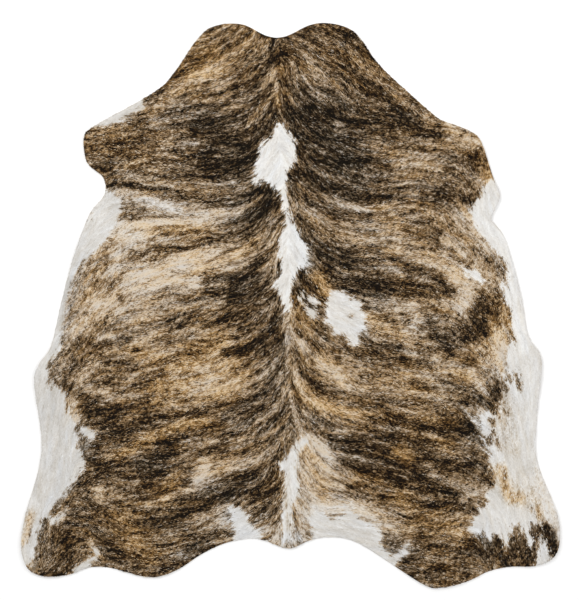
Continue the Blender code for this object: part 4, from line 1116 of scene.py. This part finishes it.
# %% The rust tint: how wide in centimetres, how strong, and the stroke's points
RUST = (
    # loin, left
    (8.2, 35, (-52,-17), (-22,-28)), (9.7, 85, (-47,-32), (-38,-24), (-29,-15)),
    (5.2, 70, (-19,-25), (-25,-33)), (4.5, 60, (-41,-26), (-37,-25)),
    (6.3, 30, (-72,7), (-77,-12), (-72,-26), (-63,-32)), (3.3, -25, (-1,-3), (-2,-17), (-5,-32)),
    # thigh, right
    (6, 35, (35,-72), (67,-87)), (4.5, 75, (41,-70), (48,-79), (64,-84)),
    # ribs, right
    (5.2, 30, (56,21), (71,2)), (3.3, 125, (11,11), (13,6)), (3.7, 30, (48,24), (60,10)),
    (4.5, 40, (42,5), (56,-1)), (3.7, -80, (4,25), (7,16)), (6, -45, (17,18), (33,3)),
    # thigh, left
    (5.2, 30, (-52,-72), (-63,-87)), (4.5, -80, (-23,-77), (-15,-87)),
    (3, 90, (-96,-78), (-98,-83), (-99,-87)),
    # neck, left
    (10.4, 55, (-19,99), (-31,91), (-40,82)), (5.2, 95, (-28,93), (-34,89)), (3.3, 80, (-2,93), (-2,76)),
    # neck, right
    (6.7, 40, (8,96), (20,90)), (5.2, 35, (28,90), (41,79)),
    # shoulder, left
    (6.7, 40, (-74,61), (-61,61), (-50,62)), (9.7, -45, (-35,68), (-19,58), (-16,43)),
    (3.7, -50, (-11,46), (-8,41)),
    # shoulder, right
    (6, 35, (56,67), (67,61)), (6, 30, (37,56), (52,56)), (4.1, 80, (72,53), (74,47)),
    (10.4, -60, (8,73), (19,61), (21,47)), (3.3, -40, (23,47), (28,44)),
    # armpit, left
    (4.8, 45, (-50,28), (-32,29)), (3.3, -55, (-67,41), (-52,37), (-32,35)), (4.5, -45, (-22,31), (-12,35)),
    # ribs, left
    (4.5, 40, (-8,25), (-18,18), (-34,16)), (4.5, 15, (-48,13), (-63,6)),
    (3.7, -70, (-78,24), (-83,9), (-86,-10)), (5.2, -40, (-20,6), (-11,3)),
    # hip, left
    (2.6, 110, (-27.5,-42.5), (-40.5,-44), (-51.5,-49), (-63.5,-56)), (3.3, -70, (-79,-47), (-76,-54)),
    (5.2, -20, (-3,-36), (-16,-46)),
    # rump, left
    (4.5, 45, (-34,-60), (-15,-54)), (3.3, 90, (-43,-64), (-48,-72)),
    (6, -45, (-89,-25), (-89,-46), (-85,-65), (-93,-87)), (3.7, -80, (-31,-69), (-24,-69)),
    (3.3, -50, (-56,-57), (-48,-60)),
    # hind leg, left
    (4.8, 80, (-64,-78), (-60,-84), (-53,-93)), (4.5, 35, (-84,-84), (-75,-90)),
    (3.7, -50, (-40,-93), (-33,-91)),
    # waist, right
    (4.1, 70, (2,1), (4,-5), (8,-9)), (3.3, 70, (30,-6), (40,-11)), (5.2, 60, (78,-3), (74,-14), (65,-24)),
    (2.2, -60, (26.5,-8.5), (28,-10.5)), (3.7, -40, (52,-6), (59,-15)),
    # armpit, right
    (4.5, 40, (35,34), (43,29)), (4.5, 25, (50,33), (66,26)),
    # loin, right
    (6.7, 35, (7,-20), (26,-23), (42,-24)), (4.8, 50, (42,-25), (48,-34)), (4.5, -40, (78,-29), (85,-33)),
    # hip, right
    (3.3, 100, (4,-31), (10,-36), (21,-40), (33,-41)), (3, 60, (34,-41), (48,-42), (60,-43)),
    (3, 70, (44,-46), (59,-52)), (5.2, -70, (69,-37), (71,-49)),
    # rump, right
    (3, 120, (40,-54), (44,-57)), (3, 90, (25,-64), (31,-65)), (3.7, 50, (6,-55), (13,-68)),
    (4.5, 50, (84,-56), (86,-72)), (3.7, -40, (16,-52), (22,-56)),
    (3, 80, (78,-61), (80,-68), (81,-72), (85,-72)),
    # hind leg, right
    (4.5, 30, (52,-90), (59,-100)), (3.3, -100, (-2,-87), (2,-87)), (3.3, -70, (70,-84), (74,-87)),
    (5.2, -60, (91,-87), (95,-92)), (4.1, -60, (38,-90), (42,-93)),
)

# %% The tint at every grid point
TINT_STREAK = 0.25
TINT_COMB = (0.8, 6.0)

rust = np.zeros(grid_x.shape)
tint_count = brush(rust, RUST)
rust += TINT_STREAK * combed_noise(*TINT_COMB)
print("tint strokes:", tint_count)

# %% [markdown]
# ## The height of the coat
#
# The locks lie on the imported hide's upper side, so its height is read by rays from above. Beyond the cut
# edge there is nothing to hit, and the nearest point of the hide serves there, for the tips that hang over
# the edge.

# %% The height of the hide's upper side and underside
RAY_FROM = 1.0  # well clear of the hide, above or below
HEIGHT_STRIDE = 2  # every second grid point gets a ray, and the rest is blended


def hide_height(x, y, way):
    """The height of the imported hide's upper side (way 1) or underside (way -1) at this place."""
    hit = hide_tree.ray_cast(Vector((x, y, way * RAY_FROM)), Vector((0, 0, -way)))[0]
    return (hit or hide_tree.find_nearest(Vector((x, y, way * RAY_FROM)))[0]).z


def height_field(way):
    """The height of one side of the hide at every grid point."""
    x, y = grid_x[::HEIGHT_STRIDE, ::HEIGHT_STRIDE], grid_y[::HEIGHT_STRIDE, ::HEIGHT_STRIDE]
    known = np.array([hide_height(a, b, way) for a, b in zip(x.ravel(), y.ravel())]).reshape(x.shape)
    rows = np.minimum(np.arange(ROWS) / HEIGHT_STRIDE, x.shape[0] - 1)
    columns = np.minimum(np.arange(COLUMNS) / HEIGHT_STRIDE, x.shape[1] - 1)
    wide = np.array([np.interp(columns, np.arange(x.shape[1]), line) for line in known])
    return np.array([np.interp(rows, np.arange(x.shape[0]), line) for line in wide.T]).T


upper_side = height_field(1)
under_side = height_field(-1)
print("coat top, mm:", round(float(upper_side.max()) / MM, 1))

# %% [markdown]
# ## The skin
#
# Under the coat is tanned leather, 1.8 mm thick, with a raw cut edge. It is a sheet that lies exactly where
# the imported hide's underside is, lifted edges and all. So the underside's faces are kept from the merged
# copy, and extruding them upwards by the leather's thickness closes the sheet with its cut edge.

# %% The tanned skin
SKIN_THICK = 1.8 * MM


def skin_mesh():
    """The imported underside, given the leather's thickness."""
    bm = merged_hide()
    others = [face for face in bm.faces if face.normal.z > -UPRIGHT]
    bmesh.ops.delete(bm, geom=others, context="FACES")
    raised = bmesh.ops.extrude_face_region(bm, geom=bm.faces[:], use_keep_orig=True)["geom"]
    lifted = [part for part in raised if isinstance(part, bmesh.types.BMVert)]
    bmesh.ops.translate(bm, verts=lifted, vec=(0, 0, SKIN_THICK))
    bmesh.ops.recalc_face_normals(bm, faces=bm.faces[:])
    return mesh_from(bm, "skin")


skin = link("skin", skin_mesh())
print("skin faces:", len(skin.data.polygons))

# %% [markdown]
# ## The undercoat
#
# Between the locks one can look down to the fine short hair on the skin. It is a closed, thin body on the
# leather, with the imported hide's outline. Its top needs small even cells, because it carries the coat's
# colours as values on its points, while its hidden bottom does with large ones. Each is an even grid,
# trimmed inside the ring and joined to it by a band of triangles.

# %% The undercoat
TOP_CELL = 8.0 * MM
BOTTOM_CELL = 60 * MM
CLEAR_SHARE = 0.7  # how far the grid stays from the ring, in cells
TOP_PLANE = 1.0  # where the top is laid out, before it is lowered onto the hide
UNDERCOAT_SUNK = 1.3 * MM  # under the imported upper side, which is where the locks end
UNDERCOAT_LEAST = 0.5 * MM
LAID_APART = 0.1 * MM


def pinched(vert):
    """Whether the trimmed grid's border passes this point more than once."""
    return sum(edge.is_boundary for edge in vert.link_edges) > 2


def even_grid(bm, cell, plane):
    """An even grid in this plane, trimmed to lie inside the cut edge and clear of it."""
    low, high = cut_edge.min(0), cut_edge.max(0)
    wide, long = high - low
    middle = (low + high) / 2
    stretched = Matrix.Translation((*middle, plane)) @ Matrix.Diagonal((wide / 2, long / 2, 1, 1))
    verts = bmesh.ops.create_grid(
        bm, x_segments=round(wide / cell), y_segments=round(long / cell), size=1.0, matrix=stretched
    )["verts"]
    spots = np.array([vert.co.xy for vert in verts])
    clear = read(edge_depth, *spots.T) > min(CLEAR_SHARE * cell, DEPTH_REACH / 2)
    while not all(clear):
        bmesh.ops.delete(bm, geom=[vert for vert, kept in zip(verts, clear) if not kept], context="VERTS")
        verts = [vert for vert, kept in zip(verts, clear) if kept]
        clear = [bool(vert.link_faces) and not pinched(vert) for vert in verts]
    return {edge for vert in verts for edge in vert.link_edges if edge.is_boundary}


def fill_ring(bm, ring, cell, plane):
    """Fills a ring of edges with an even grid and a band of triangles around it."""
    band = even_grid(bm, cell, plane)
    bmesh.ops.triangle_fill(bm, edges=[*ring, *band], use_beauty=True, use_dissolve=False, normal=(0, 0, 1))


def undercoat_mesh():
    """The closed body of short hair on the skin."""
    half_way = TOP_PLANE / 2
    bm = bmesh.new()
    corners = [bm.verts.new((x, y, 0)) for x, y in cut_edge]
    ring = [bm.edges.new(pair) for pair in zip(corners, corners[1:] + corners[:1])]
    walls = bmesh.ops.extrude_edge_only(bm, edges=ring)["geom"]
    upper = [part for part in walls if isinstance(part, bmesh.types.BMVert)]
    bmesh.ops.translate(bm, verts=upper, vec=(0, 0, TOP_PLANE))
    upper_ring = {edge for vert in upper for edge in vert.link_edges if edge.other_vert(vert).co.z > half_way}
    fill_ring(bm, ring, BOTTOM_CELL, 0)
    fill_ring(bm, upper_ring, TOP_CELL, TOP_PLANE)
    bmesh.ops.recalc_face_normals(bm, faces=bm.faces[:])
    places = np.array([vert.co for vert in bm.verts])
    bottom = read(under_side, *places[:, :2].T) + SKIN_THICK + LAID_APART
    top = np.maximum(read(upper_side, *places[:, :2].T) - UNDERCOAT_SUNK, bottom + UNDERCOAT_LEAST)
    for vert, z in zip(bm.verts, np.where(places[:, 2] > half_way, top, bottom)):
        vert.co.z = z
    return mesh_from(bm, "undercoat")


undercoat = link("undercoat", undercoat_mesh())
undercoat.data.shade_smooth()
print("undercoat triangles:", sum(len(face.vertices) - 2 for face in undercoat.data.polygons))

# %% [markdown]
# ## The locks
#
# The hair itself lies in small locks, a few millimetres wide and about 14 long. One lock is a slim closed
# spike of four faces: a base on the undercoat, a ridge a little way along it, and a tip that lies on the
# locks below it. There are close to 190 thousand of them, on an even spacing with some jitter, and each
# takes its direction from the lay, its colours from the brindle under it and a little chance. They are
# worked out as arrays, all at once.

# %% Where the locks stand, and how long they are
LOCK_SPACING = 4.08 * MM
LOCK_LONG = 14 * MM
LOCK_SHORTER = 0.65  # how long the locks at the belly are, against those on the back
BACK_REACH = (20 * CM, 75 * CM)  # from the backbone, where the locks start and end getting shorter
LONG_CHANCE = (0.65, 1.3)  # the shortest and the longest, against their like
LOCK_WIDE = 3.5 * MM
WIDE_CHANCE = (0.7, 1.3)
LOCK_TURN = math.radians(8)
ROOT_INSIDE = 0.4 * MM  # how far from the cut edge the first locks stand
OVERHANG = 2.5 * MM
TRIMS = 5  # how often a lock that hangs out further is cut to the next share
TRIM_SHARE = 0.75

across = np.arange(grid_low[0], cut_edge[:, 0].max(), LOCK_SPACING)
up = np.arange(grid_low[1], cut_edge[:, 1].max(), LOCK_SPACING)
root_x, root_y = (places.ravel() for places in np.meshgrid(across, up))
root_x = root_x + LOCK_SPACING * rng.uniform(-0.5, 0.5, root_x.size)
root_y = root_y + LOCK_SPACING * rng.uniform(-0.5, 0.5, root_y.size)
rooted = read(edge_depth, root_x, root_y) > ROOT_INSIDE
root_x, root_y = root_x[rooted], root_y[rooted]
lock_count = root_x.size

way_x, way_y = pick(lay, root_x, root_y)
swing = rng.normal(0, LOCK_TURN, lock_count)
way_x, way_y = way_x * np.cos(swing) - way_y * np.sin(swing), way_x * np.sin(swing) + way_y * np.cos(swing)
lock_long = LOCK_LONG * rng.uniform(*LONG_CHANCE, lock_count)
lock_long *= np.interp(np.abs(root_x - backbone_at(root_y)), BACK_REACH, (1, LOCK_SHORTER))
lock_wide = LOCK_WIDE * rng.uniform(*WIDE_CHANCE, lock_count)
for trim in range(TRIMS):
    too_far = read(edge_depth, root_x + way_x * lock_long, root_y + way_y * lock_long) < -OVERHANG
    lock_long[too_far] *= TRIM_SHARE
print("locks:", lock_count)

# %% The four corners of every lock
RIDGE_ALONG = 0.3
RIDGE_HIGH = 0.75 * MM
RIDGE_CHANCE = (0.5, 1.5)
TIP_LIFT = 0.45 * MM
TIP_CHANCE = (0.0, 2.0)
ROOT_SUNK = 0.3 * MM
TIP_DROOP = 0.35  # of the way that a tip hangs out over the edge

coat_top = np.maximum(upper_side - UNDERCOAT_SUNK, under_side + SKIN_THICK + UNDERCOAT_LEAST)


def lock_point(along, aside, high):
    """A point of every lock, this share along it, this far to its left and this high above the undercoat."""
    x = root_x + way_x * along * lock_long - way_y * aside
    y = root_y + way_y * along * lock_long + way_x * aside
    hung = np.maximum(0, -read(edge_depth, x, y))
    return np.stack([x, y, read(coat_top, x, y) + high - TIP_DROOP * hung], 1)


ridge_high = RIDGE_HIGH * rng.uniform(*RIDGE_CHANCE, lock_count)
tip_lift = TIP_LIFT * rng.uniform(*TIP_CHANCE, lock_count)
lock_corners = np.stack([
    lock_point(0, lock_wide / 2, -ROOT_SUNK),
    lock_point(0, -lock_wide / 2, -ROOT_SUNK),
    lock_point(RIDGE_ALONG, 0, ridge_high),
    lock_point(1, 0, tip_lift),
], 1)
print("highest lock, mm:", round(float(lock_corners[..., 2].max()) / MM, 1))

# %% [markdown]
# ## The colours on the points
#
# The coat's material reads four values from each point: the tone, the share of white, the rust tint, and how
# far along the lock the point is, which sets the painted shade towards the lock's root. A vector that runs
# across and along the lock lets it draw single hairs in it.

# %% The values that the material reads
LOCK_CHANCE = 0.175  # how much chance changes a lock's tone
CORNER_CHANCE = 0.24  # and the tone of each of its corners
WHITE_CHANCE = 0.030
TINT_BASE = 0.37
TINT_CHANCE = 0.42
TINT_RANGE = (-0.5, 0.9)  # the least and the most that chance counts for in the tint
TINT_MOST = 1.35
TINT_FADE = (0.62, 0.95)  # the tones between which the tint fades
TINT_LEFT = 0.4
TINT_LOST = 0.85  # the share of its tint that white hair loses
BORDER_CHANCE = 4.5 * MM
BORDER_SOFT = 6.0 * MM
MIXED_CHANCE = 0.6
WHITE_AT = 0.55  # a lock is white if the coat under this share of its length is
# painted shade between the locks: the undercoat is darkened like the root of a lock
UNDERCOAT_SHADE_ALONG = 0.2  # the undercoat is as dark as a lock is here


def coat_values(x, y, depth, chance):
    """The tone, the share of white and the rust tint of the coat at these places."""
    white = np.clip(0.5 + (depth + BORDER_CHANCE * chance[0]) / BORDER_SOFT, 0, 1)
    white = np.clip(white + read(mixed_white, x, y) * (1 + MIXED_CHANCE * chance[0]), 0, 1)
    brown = read(brown_tone, x, y) + LOCK_CHANCE * chance[1] + CORNER_CHANCE * rng.standard_normal(x.shape)
    pale = read(white_tone, x, y) + WHITE_CHANCE * chance[1]
    tint = read(rust, x, y) + TINT_BASE + TINT_CHANCE * np.clip(chance[2], *TINT_RANGE)
    tint = np.minimum(tint, TINT_MOST) * np.interp(brown, TINT_FADE, (1, TINT_LEFT)) * (1 - TINT_LOST * white)
    return {"tone": brown + (pale - brown) * white, "white": white, "tint": tint}


def paint(mesh, values):
    """Stores the values on the mesh's points, one attribute for each."""
    for name, numbers in values.items():
        kind, part = ("FLOAT_VECTOR", "vector") if numbers.ndim == 2 else ("FLOAT", "value")
        mesh.attributes.new(name, kind, "POINT").data.foreach_set(part, numbers.astype(np.float32).ravel())


lock_depth = read(white_depth, root_x + way_x * WHITE_AT * lock_long, root_y + way_y * WHITE_AT * lock_long)
lock_chance = rng.standard_normal((3, lock_count))
corner_x, corner_y = lock_corners[..., 0], lock_corners[..., 1]
lock_values = coat_values(corner_x, corner_y, lock_depth[:, None], lock_chance[..., None])
places = np.array([vert.co for vert in undercoat.data.vertices])
point_count = len(places)
under_values = coat_values(*places[:, :2].T, read(white_depth, *places[:, :2].T), np.zeros((3, point_count)))
# the undercoat gets the painted shade of a lock's root, as shade between the locks
under_values["along"] = np.full(point_count, UNDERCOAT_SHADE_ALONG)
under_values["strand"] = places * (1 / LOCK_WIDE)
paint(undercoat.data, under_values)
print("mean lock tone:", round(float(lock_values["tone"].mean()), 3))

# %% [markdown]
# ## The four strips of locks
#
# The locks are joined into four pieces, two on each side of the backbone, so that each stays a size that
# other programs handle well. Each lock also gets its own small square in the piece's map, row by row, which
# keeps neighbours on the hide close together on the map too.

# %% The strips
MAP_NAME = "OFBake"  # the name of the map that a baking program keeps colours on
MAP_GAP = 0.06  # around a lock on its square of the map, as a share of the square
CORNER_ON_MAP = np.array([(0.0, 0.0), (0.0, 1.0), (0.15, 0.5), (1.0, 0.5)])
LOCK_FACES = np.array([(0, 2, 3), (1, 3, 2), (0, 1, 2), (0, 3, 1)])
ALONG = np.array([0.0, 0.0, RIDGE_ALONG, 1.0])
ASIDE = np.array([1.0, -1.0, 0.0, 0.0])
CORNERS = len(ALONG)
STRAND_NUMBERS = 997  # locks are numbered up to this, so that each gets other hairs than its neighbours


def strip_mesh(name, chosen):
    """The chosen locks as one mesh, with their values and their map."""
    count = len(chosen)
    corners = lock_corners[chosen].reshape(-1, 3)
    faces = (LOCK_FACES + CORNERS * np.arange(count)[:, None, None]).reshape(-1, 3)
    mesh = bpy.data.meshes.new(name)
    mesh.from_pydata(corners, [], faces)
    values = {key: value[chosen].ravel() for key, value in lock_values.items()}
    values["along"] = np.tile(ALONG, count)
    numbers = np.repeat(chosen % STRAND_NUMBERS, CORNERS)
    values["strand"] = np.stack([np.tile(ASIDE, count), values["along"], numbers], 1)
    paint(mesh, values)
    side = math.ceil(math.sqrt(count))
    cell = np.stack([np.arange(count) % side, np.arange(count) // side], 1)
    spots = (cell[:, None] + MAP_GAP + (1 - 2 * MAP_GAP) * CORNER_ON_MAP) / side
    spots = spots[:, LOCK_FACES.ravel()]
    mesh.uv_layers.new(name=MAP_NAME).data.foreach_set("uv", spots.astype(np.float32).ravel())
    return mesh


lock_left = root_x < backbone_at(root_y)
strips = {}
for side_name, on_side in (("left", lock_left), ("right", ~lock_left)):
    parted = np.median(root_x[on_side])
    inner = on_side & ((root_x > parted) == (side_name == "left"))
    for place_name, members in (("back", inner), ("flank", on_side & ~inner)):
        name = f"locks_{side_name}_{place_name}"
        strips[name] = link(name, strip_mesh(name, np.flatnonzero(members)))
        print(name, len(strips[name].data.polygons), "triangles")

# %% [markdown]
# ## A small helper for materials
#
# A material is a net of nodes. To write its sums as plain expressions, a wire wraps a socket, and adding or
# multiplying wires places the Math node that does it. Every other node comes from one method, which takes
# the node's type, its settings, and what goes into its sockets.

# %% A wire
class Wire:
    """An output socket in a finish. Sums written with it become Math nodes."""

    def __init__(self, finish, socket):
        self.finish = finish
        self.socket = socket

    def sum(self, operation, first, second):
        return self.finish.node("ShaderNodeMath", {"operation": operation}, {0: first, 1: second})

    def __add__(self, other):
        return self.sum("ADD", self, other)

    def __sub__(self, other):
        return self.sum("SUBTRACT", self, other)

    def __rsub__(self, other):
        return self.sum("SUBTRACT", other, self)

    def __mul__(self, other):
        return self.sum("MULTIPLY", self, other)

    __radd__ = __add__
    __rmul__ = __mul__


# %% A finish
class Finish:
    """A material and its nodes."""

    def __init__(self, name, **constants):
        self.material = bpy.data.materials.new(name)
        self.material.use_nodes = True
        self.tree = self.material.node_tree
        self.shader = self.tree.nodes["Principled BSDF"]
        for socket, value in constants.items():
            self.shader.inputs[socket.replace("_", " ")].default_value = value

    def node(self, kind, settings=None, inputs=None, output=0):
        """Places a node, sets it, fills its sockets with values or wires, and returns one of its outputs."""
        node = self.tree.nodes.new(kind)
        for setting, value in (settings or {}).items():
            if setting == "stops":
                self.set_stops(node.color_ramp, value)
            else:
                setattr(node, setting, value)
        for socket, value in (inputs or {}).items():
            if isinstance(value, Wire):
                self.tree.links.new(value.socket, node.inputs[socket])
            else:
                node.inputs[socket].default_value = value
        return Wire(self, node.outputs[output])

    def set_stops(self, ramp, stops):
        """Gives a ramp its stops: place and colour."""
        while len(ramp.elements) < len(stops):
            ramp.elements.new(1.0)
        for element, (place, colour) in zip(ramp.elements, stops):
            element.position = place
            element.color = colour

    def read(self, name, output="Fac"):
        """A value stored on the mesh's points."""
        return self.node("ShaderNodeAttribute", {"attribute_name": name}, output=output)

    def noise(self, vector, scale, detail=2.0, roughness=0.5):
        """Noise around 0.5."""
        return self.node(
            "ShaderNodeTexNoise",
            inputs={"Vector": vector, "Scale": scale, "Detail": detail, "Roughness": roughness},
        )

    def ramp(self, value, stops):
        """The colour that the stops give for this value."""
        return self.node("ShaderNodeValToRGB", {"stops": stops}, {"Fac": value})

    def mix(self, share, first, second, how="MIX"):
        """The second colour over the first, by this share."""
        settings = {"data_type": "RGBA", "blend_type": how}
        return self.node("ShaderNodeMix", settings, {0: share, 6: first, 7: second}, output=2)

    def finish(self, **wires):
        """Leads the wires into the shader's sockets."""
        for socket, wire in wires.items():
            self.tree.links.new(wire.socket, self.shader.inputs[socket.replace("_", " ")])
        return self.material


# %% A colour
def linear(red, green, blue):
    """A colour as a shader takes it, from the 0 to 255 that a paint program shows, by the sRGB formula."""
    shares = np.array((red, green, blue)) / 255
    values = np.where(shares < 0.04045, shares / 12.92, ((shares + 0.055) / 1.055) ** 2.4)
    return (*(float(value) for value in values), 1.0)


# %% [markdown]
# ## The coat's finish
#
# Cow hair runs from near black through brown and tan to cream, and the white hair from grey to a warm white.
# Two ramps turn the tone into these colours, and the share of white blends between them. The rust tint adds
# a little red and takes blue out. Each lock is painted a bit darker at its root, as painted shade where it
# lies under the lock before it, and drawn into single hairs by stretched noise, which also gives the bump
# and breaks up the gloss.

# %% The coat's finish
BROWN_STOPS = (
    (0.05, linear(14, 8, 2)),
    (0.10, linear(31, 18, 1)),
    (0.16, linear(51, 36, 9)),
    (0.22, linear(70, 53, 30)),
    (0.32, linear(99, 80, 57)),
    (0.45, linear(135, 114, 88)),
    (0.60, linear(173, 153, 128)),
    (0.72, linear(200, 184, 164)),
    (0.84, linear(220, 211, 199)),
)
WHITE_STOPS = (
    (0.40, linear(116, 102, 82)),
    (0.58, linear(161, 149, 131)),
    (0.72, linear(192, 187, 179)),
    (0.84, linear(219, 217, 214)),
    (0.93, linear(239, 239, 238)),
)
# painted shade: a lock is darker towards its root, where it lies under the tip of the lock before it
ROOT_PAINTED_SHADE = 0.20  # how much darker a brown lock is at its root
WHITE_CALM = 0.55  # how much weaker the shade and the single hairs are in white
HAIRS_ACROSS = 1.6
HAIRS_ALONG = 3.2
HAIR_CONTRAST = 0.60
HAIR_BUMP = 0.15 * MM
RUST_LIFT = (0.145, -0.050, -0.370)  # what a full tint adds to red, green and blue
COAT_ROUGH = 0.38
HAIRS_ROUGH = 0.3  # how much rougher the palest single hairs are


def coat_finish():
    """Short glossy hair, coloured by the values on its points."""
    coat = Finish("coat hair", Specular_IOR_Level=0.08)
    along, white = coat.read("along"), coat.read("white")
    stretched = coat.node(
        "ShaderNodeVectorMath",
        {"operation": "MULTIPLY"},
        {0: coat.read("strand", "Vector"), 1: (HAIRS_ACROSS, HAIRS_ALONG, 1.0)},
    )
    hairs = coat.noise(stretched, 1.0, detail=3.0, roughness=0.65)
    calm = 1 - white * WHITE_CALM
    tone = coat.read("tone") + (hairs - 0.5) * calm * HAIR_CONTRAST
    colour = coat.mix(white, coat.ramp(tone, BROWN_STOPS), coat.ramp(tone, WHITE_STOPS))
    tint = coat.read("tint")
    # painted shade towards each lock's root, multiplied with the rust tint, which is the hair's own colour
    painted_root_shade = 1 - (1 - along) * calm * ROOT_PAINTED_SHADE
    channels = {channel: painted_root_shade * (tint * lift + 1) for channel, lift in enumerate(RUST_LIFT)}
    painted_shade_and_rust = coat.node("ShaderNodeCombineColor", inputs=channels)
    raised = coat.node("ShaderNodeBump", inputs={"Strength": 0.5, "Distance": HAIR_BUMP, "Height": hairs})
    return coat.finish(
        Base_Color=coat.mix(1.0, colour, painted_shade_and_rust, "MULTIPLY"),
        Roughness=hairs * HAIRS_ROUGH + COAT_ROUGH,
        Normal=raised,
    )


coat_hair = coat_finish()
for piece in (undercoat, *strips.values()):
    piece.data.materials.append(coat_hair)
print("coat nodes:", len(coat_hair.node_tree.nodes))

# %% [markdown]
# ## The skin's finish
#
# The flesh side of a tanned hide is a pale, dry suede: a fine nap, cloudy patches where the tanning took
# unevenly, and faint branching marks of veins. It shows from below and as a thin line at the cut edge.

# %% The skin's finish
SUEDE_STOPS = (
    (0.30, linear(178, 160, 134)),
    (0.50, linear(199, 183, 158)),
    (0.70, linear(215, 203, 182)),
)
CLOUD_SCALE = 3.5
CLOUD_HIGH = 0.4
NAP_SCALE = 900.0
NAP_HIGH = 0.6
NAP_CONTRAST = 0.15
NAP_ROUGH = 0.12
VEIN_SCALE = 7.0
VEIN_WIDE = 0.03
VEIN_STRENGTH = 0.35
VEIN_DEEP = 0.5
VEIN_COLOUR = linear(160, 136, 108)
BEND_SCALE = 5.0  # the noise that bends the veins
BEND = 0.2
SUEDE_RELIEF = 0.4 * MM
SUEDE_ROUGH = 0.82


def skin_finish():
    """Pale suede with clouds, veins and a fine nap."""
    suede = Finish("suede skin", Specular_IOR_Level=0.2)
    spot = suede.node("ShaderNodeTexCoord", output="Object")
    clouds = suede.noise(spot, CLOUD_SCALE, detail=5.0, roughness=0.55)
    bend = suede.node("ShaderNodeTexNoise", inputs={"Vector": spot, "Scale": BEND_SCALE}, output="Color")
    bent = suede.node(
        "ShaderNodeVectorMath", {"operation": "MULTIPLY_ADD"}, {0: bend, 1: (BEND, BEND, BEND), 2: spot}
    )
    veins = suede.node(
        "ShaderNodeTexVoronoi", {"feature": "DISTANCE_TO_EDGE"}, {"Vector": bent, "Scale": VEIN_SCALE}
    )
    fading = {"Value": veins, "From Min": 0.0, "From Max": VEIN_WIDE, "To Min": VEIN_STRENGTH, "To Max": 0.0}
    vein = suede.node("ShaderNodeMapRange", inputs=fading)
    nap = suede.noise(spot, NAP_SCALE, detail=2.0)
    plain = suede.ramp(clouds + (nap - 0.5) * NAP_CONTRAST, SUEDE_STOPS)
    height = nap * NAP_HIGH + clouds * CLOUD_HIGH - vein * VEIN_DEEP
    relief = {"Strength": 0.6, "Distance": SUEDE_RELIEF, "Height": height}
    raised = suede.node("ShaderNodeBump", inputs=relief)
    return suede.finish(
        Base_Color=suede.mix(vein, plain, VEIN_COLOUR),
        Roughness=nap * NAP_ROUGH + SUEDE_ROUGH,
        Normal=raised,
    )


skin.data.materials.append(skin_finish())
print("skin nodes:", len(skin.data.materials[0].node_tree.nodes))

# %% [markdown]
# ## The floor's finish
#
# The photo's ground is a plain even white. A trace of very soft mottling keeps the floor from looking like a
# hole.

# %% The floor's finish
FLOOR_COLOUR = (0.93, 0.93, 0.93, 1.0)
FLOOR_PALE = linear(250, 250, 250)
MOTTLE_SCALE = 1.5
MOTTLE_ROUGH = 0.1
FLOOR_ROUGH = 0.85


def floor_finish():
    """Matt off-white."""
    ground = Finish("pale floor", Specular_IOR_Level=0.1)
    spot = ground.node("ShaderNodeTexCoord", output="Object")
    mottle = ground.noise(spot, MOTTLE_SCALE)
    return ground.finish(
        Base_Color=ground.mix(mottle, FLOOR_COLOUR, FLOOR_PALE),
        Roughness=mottle * MOTTLE_ROUGH + FLOOR_ROUGH,
    )


floor.data.materials.append(floor_finish())
print("floor nodes:", len(floor.data.materials[0].node_tree.nodes))

# %% [markdown]
# ## A map for the undercoat
#
# When a program bakes the undercoat's colours, it keeps them on a map that simply looks down on it. Its
# bottom, which nothing sees, goes into a corner of that map where there is no hide.

# %% The undercoat's map
CORNER_SHARE = 0.03

mesh = undercoat.data
loop_points = np.empty(len(mesh.loops), np.int32)
mesh.loops.foreach_get("vertex_index", loop_points)
face_sizes = np.array([face.loop_total for face in mesh.polygons])
face_down = np.array([face.normal.z < -UPRIGHT for face in mesh.polygons])
low, high = cut_edge.min(0), cut_edge.max(0)
spots = (places[loop_points, :2] - low) / (high - low)
unseen = np.repeat(face_down, face_sizes)
spots[unseen] *= CORNER_SHARE
spots[unseen] += (0.0, 1 - CORNER_SHARE)
mesh.uv_layers.new(name=MAP_NAME).data.foreach_set("uv", spots.astype(np.float32).ravel())
print("faces in the map's corner:", int(face_down.sum()))

# %% [markdown]
# ## What moves, what stands for what, and the cloth's flat size
#
# The rug has no joints, so every piece rides on the one body. The skin and the coat together stand for the
# packed hide, which stays hidden. The skin, a sheet, was cut flat to the size of its outline, and it is laid
# on the floor with the coat on it; its flat size is printed from the packed hide.

# %% The body, and the sheet's flat size
coat_pieces = [undercoat, *strips.values()]
for piece in (skin, *coat_pieces):
    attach(piece, "root")
    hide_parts("hide")
print("sheet, m:", round(packed_size.x, 3), "by", round(packed_size.y, 3))
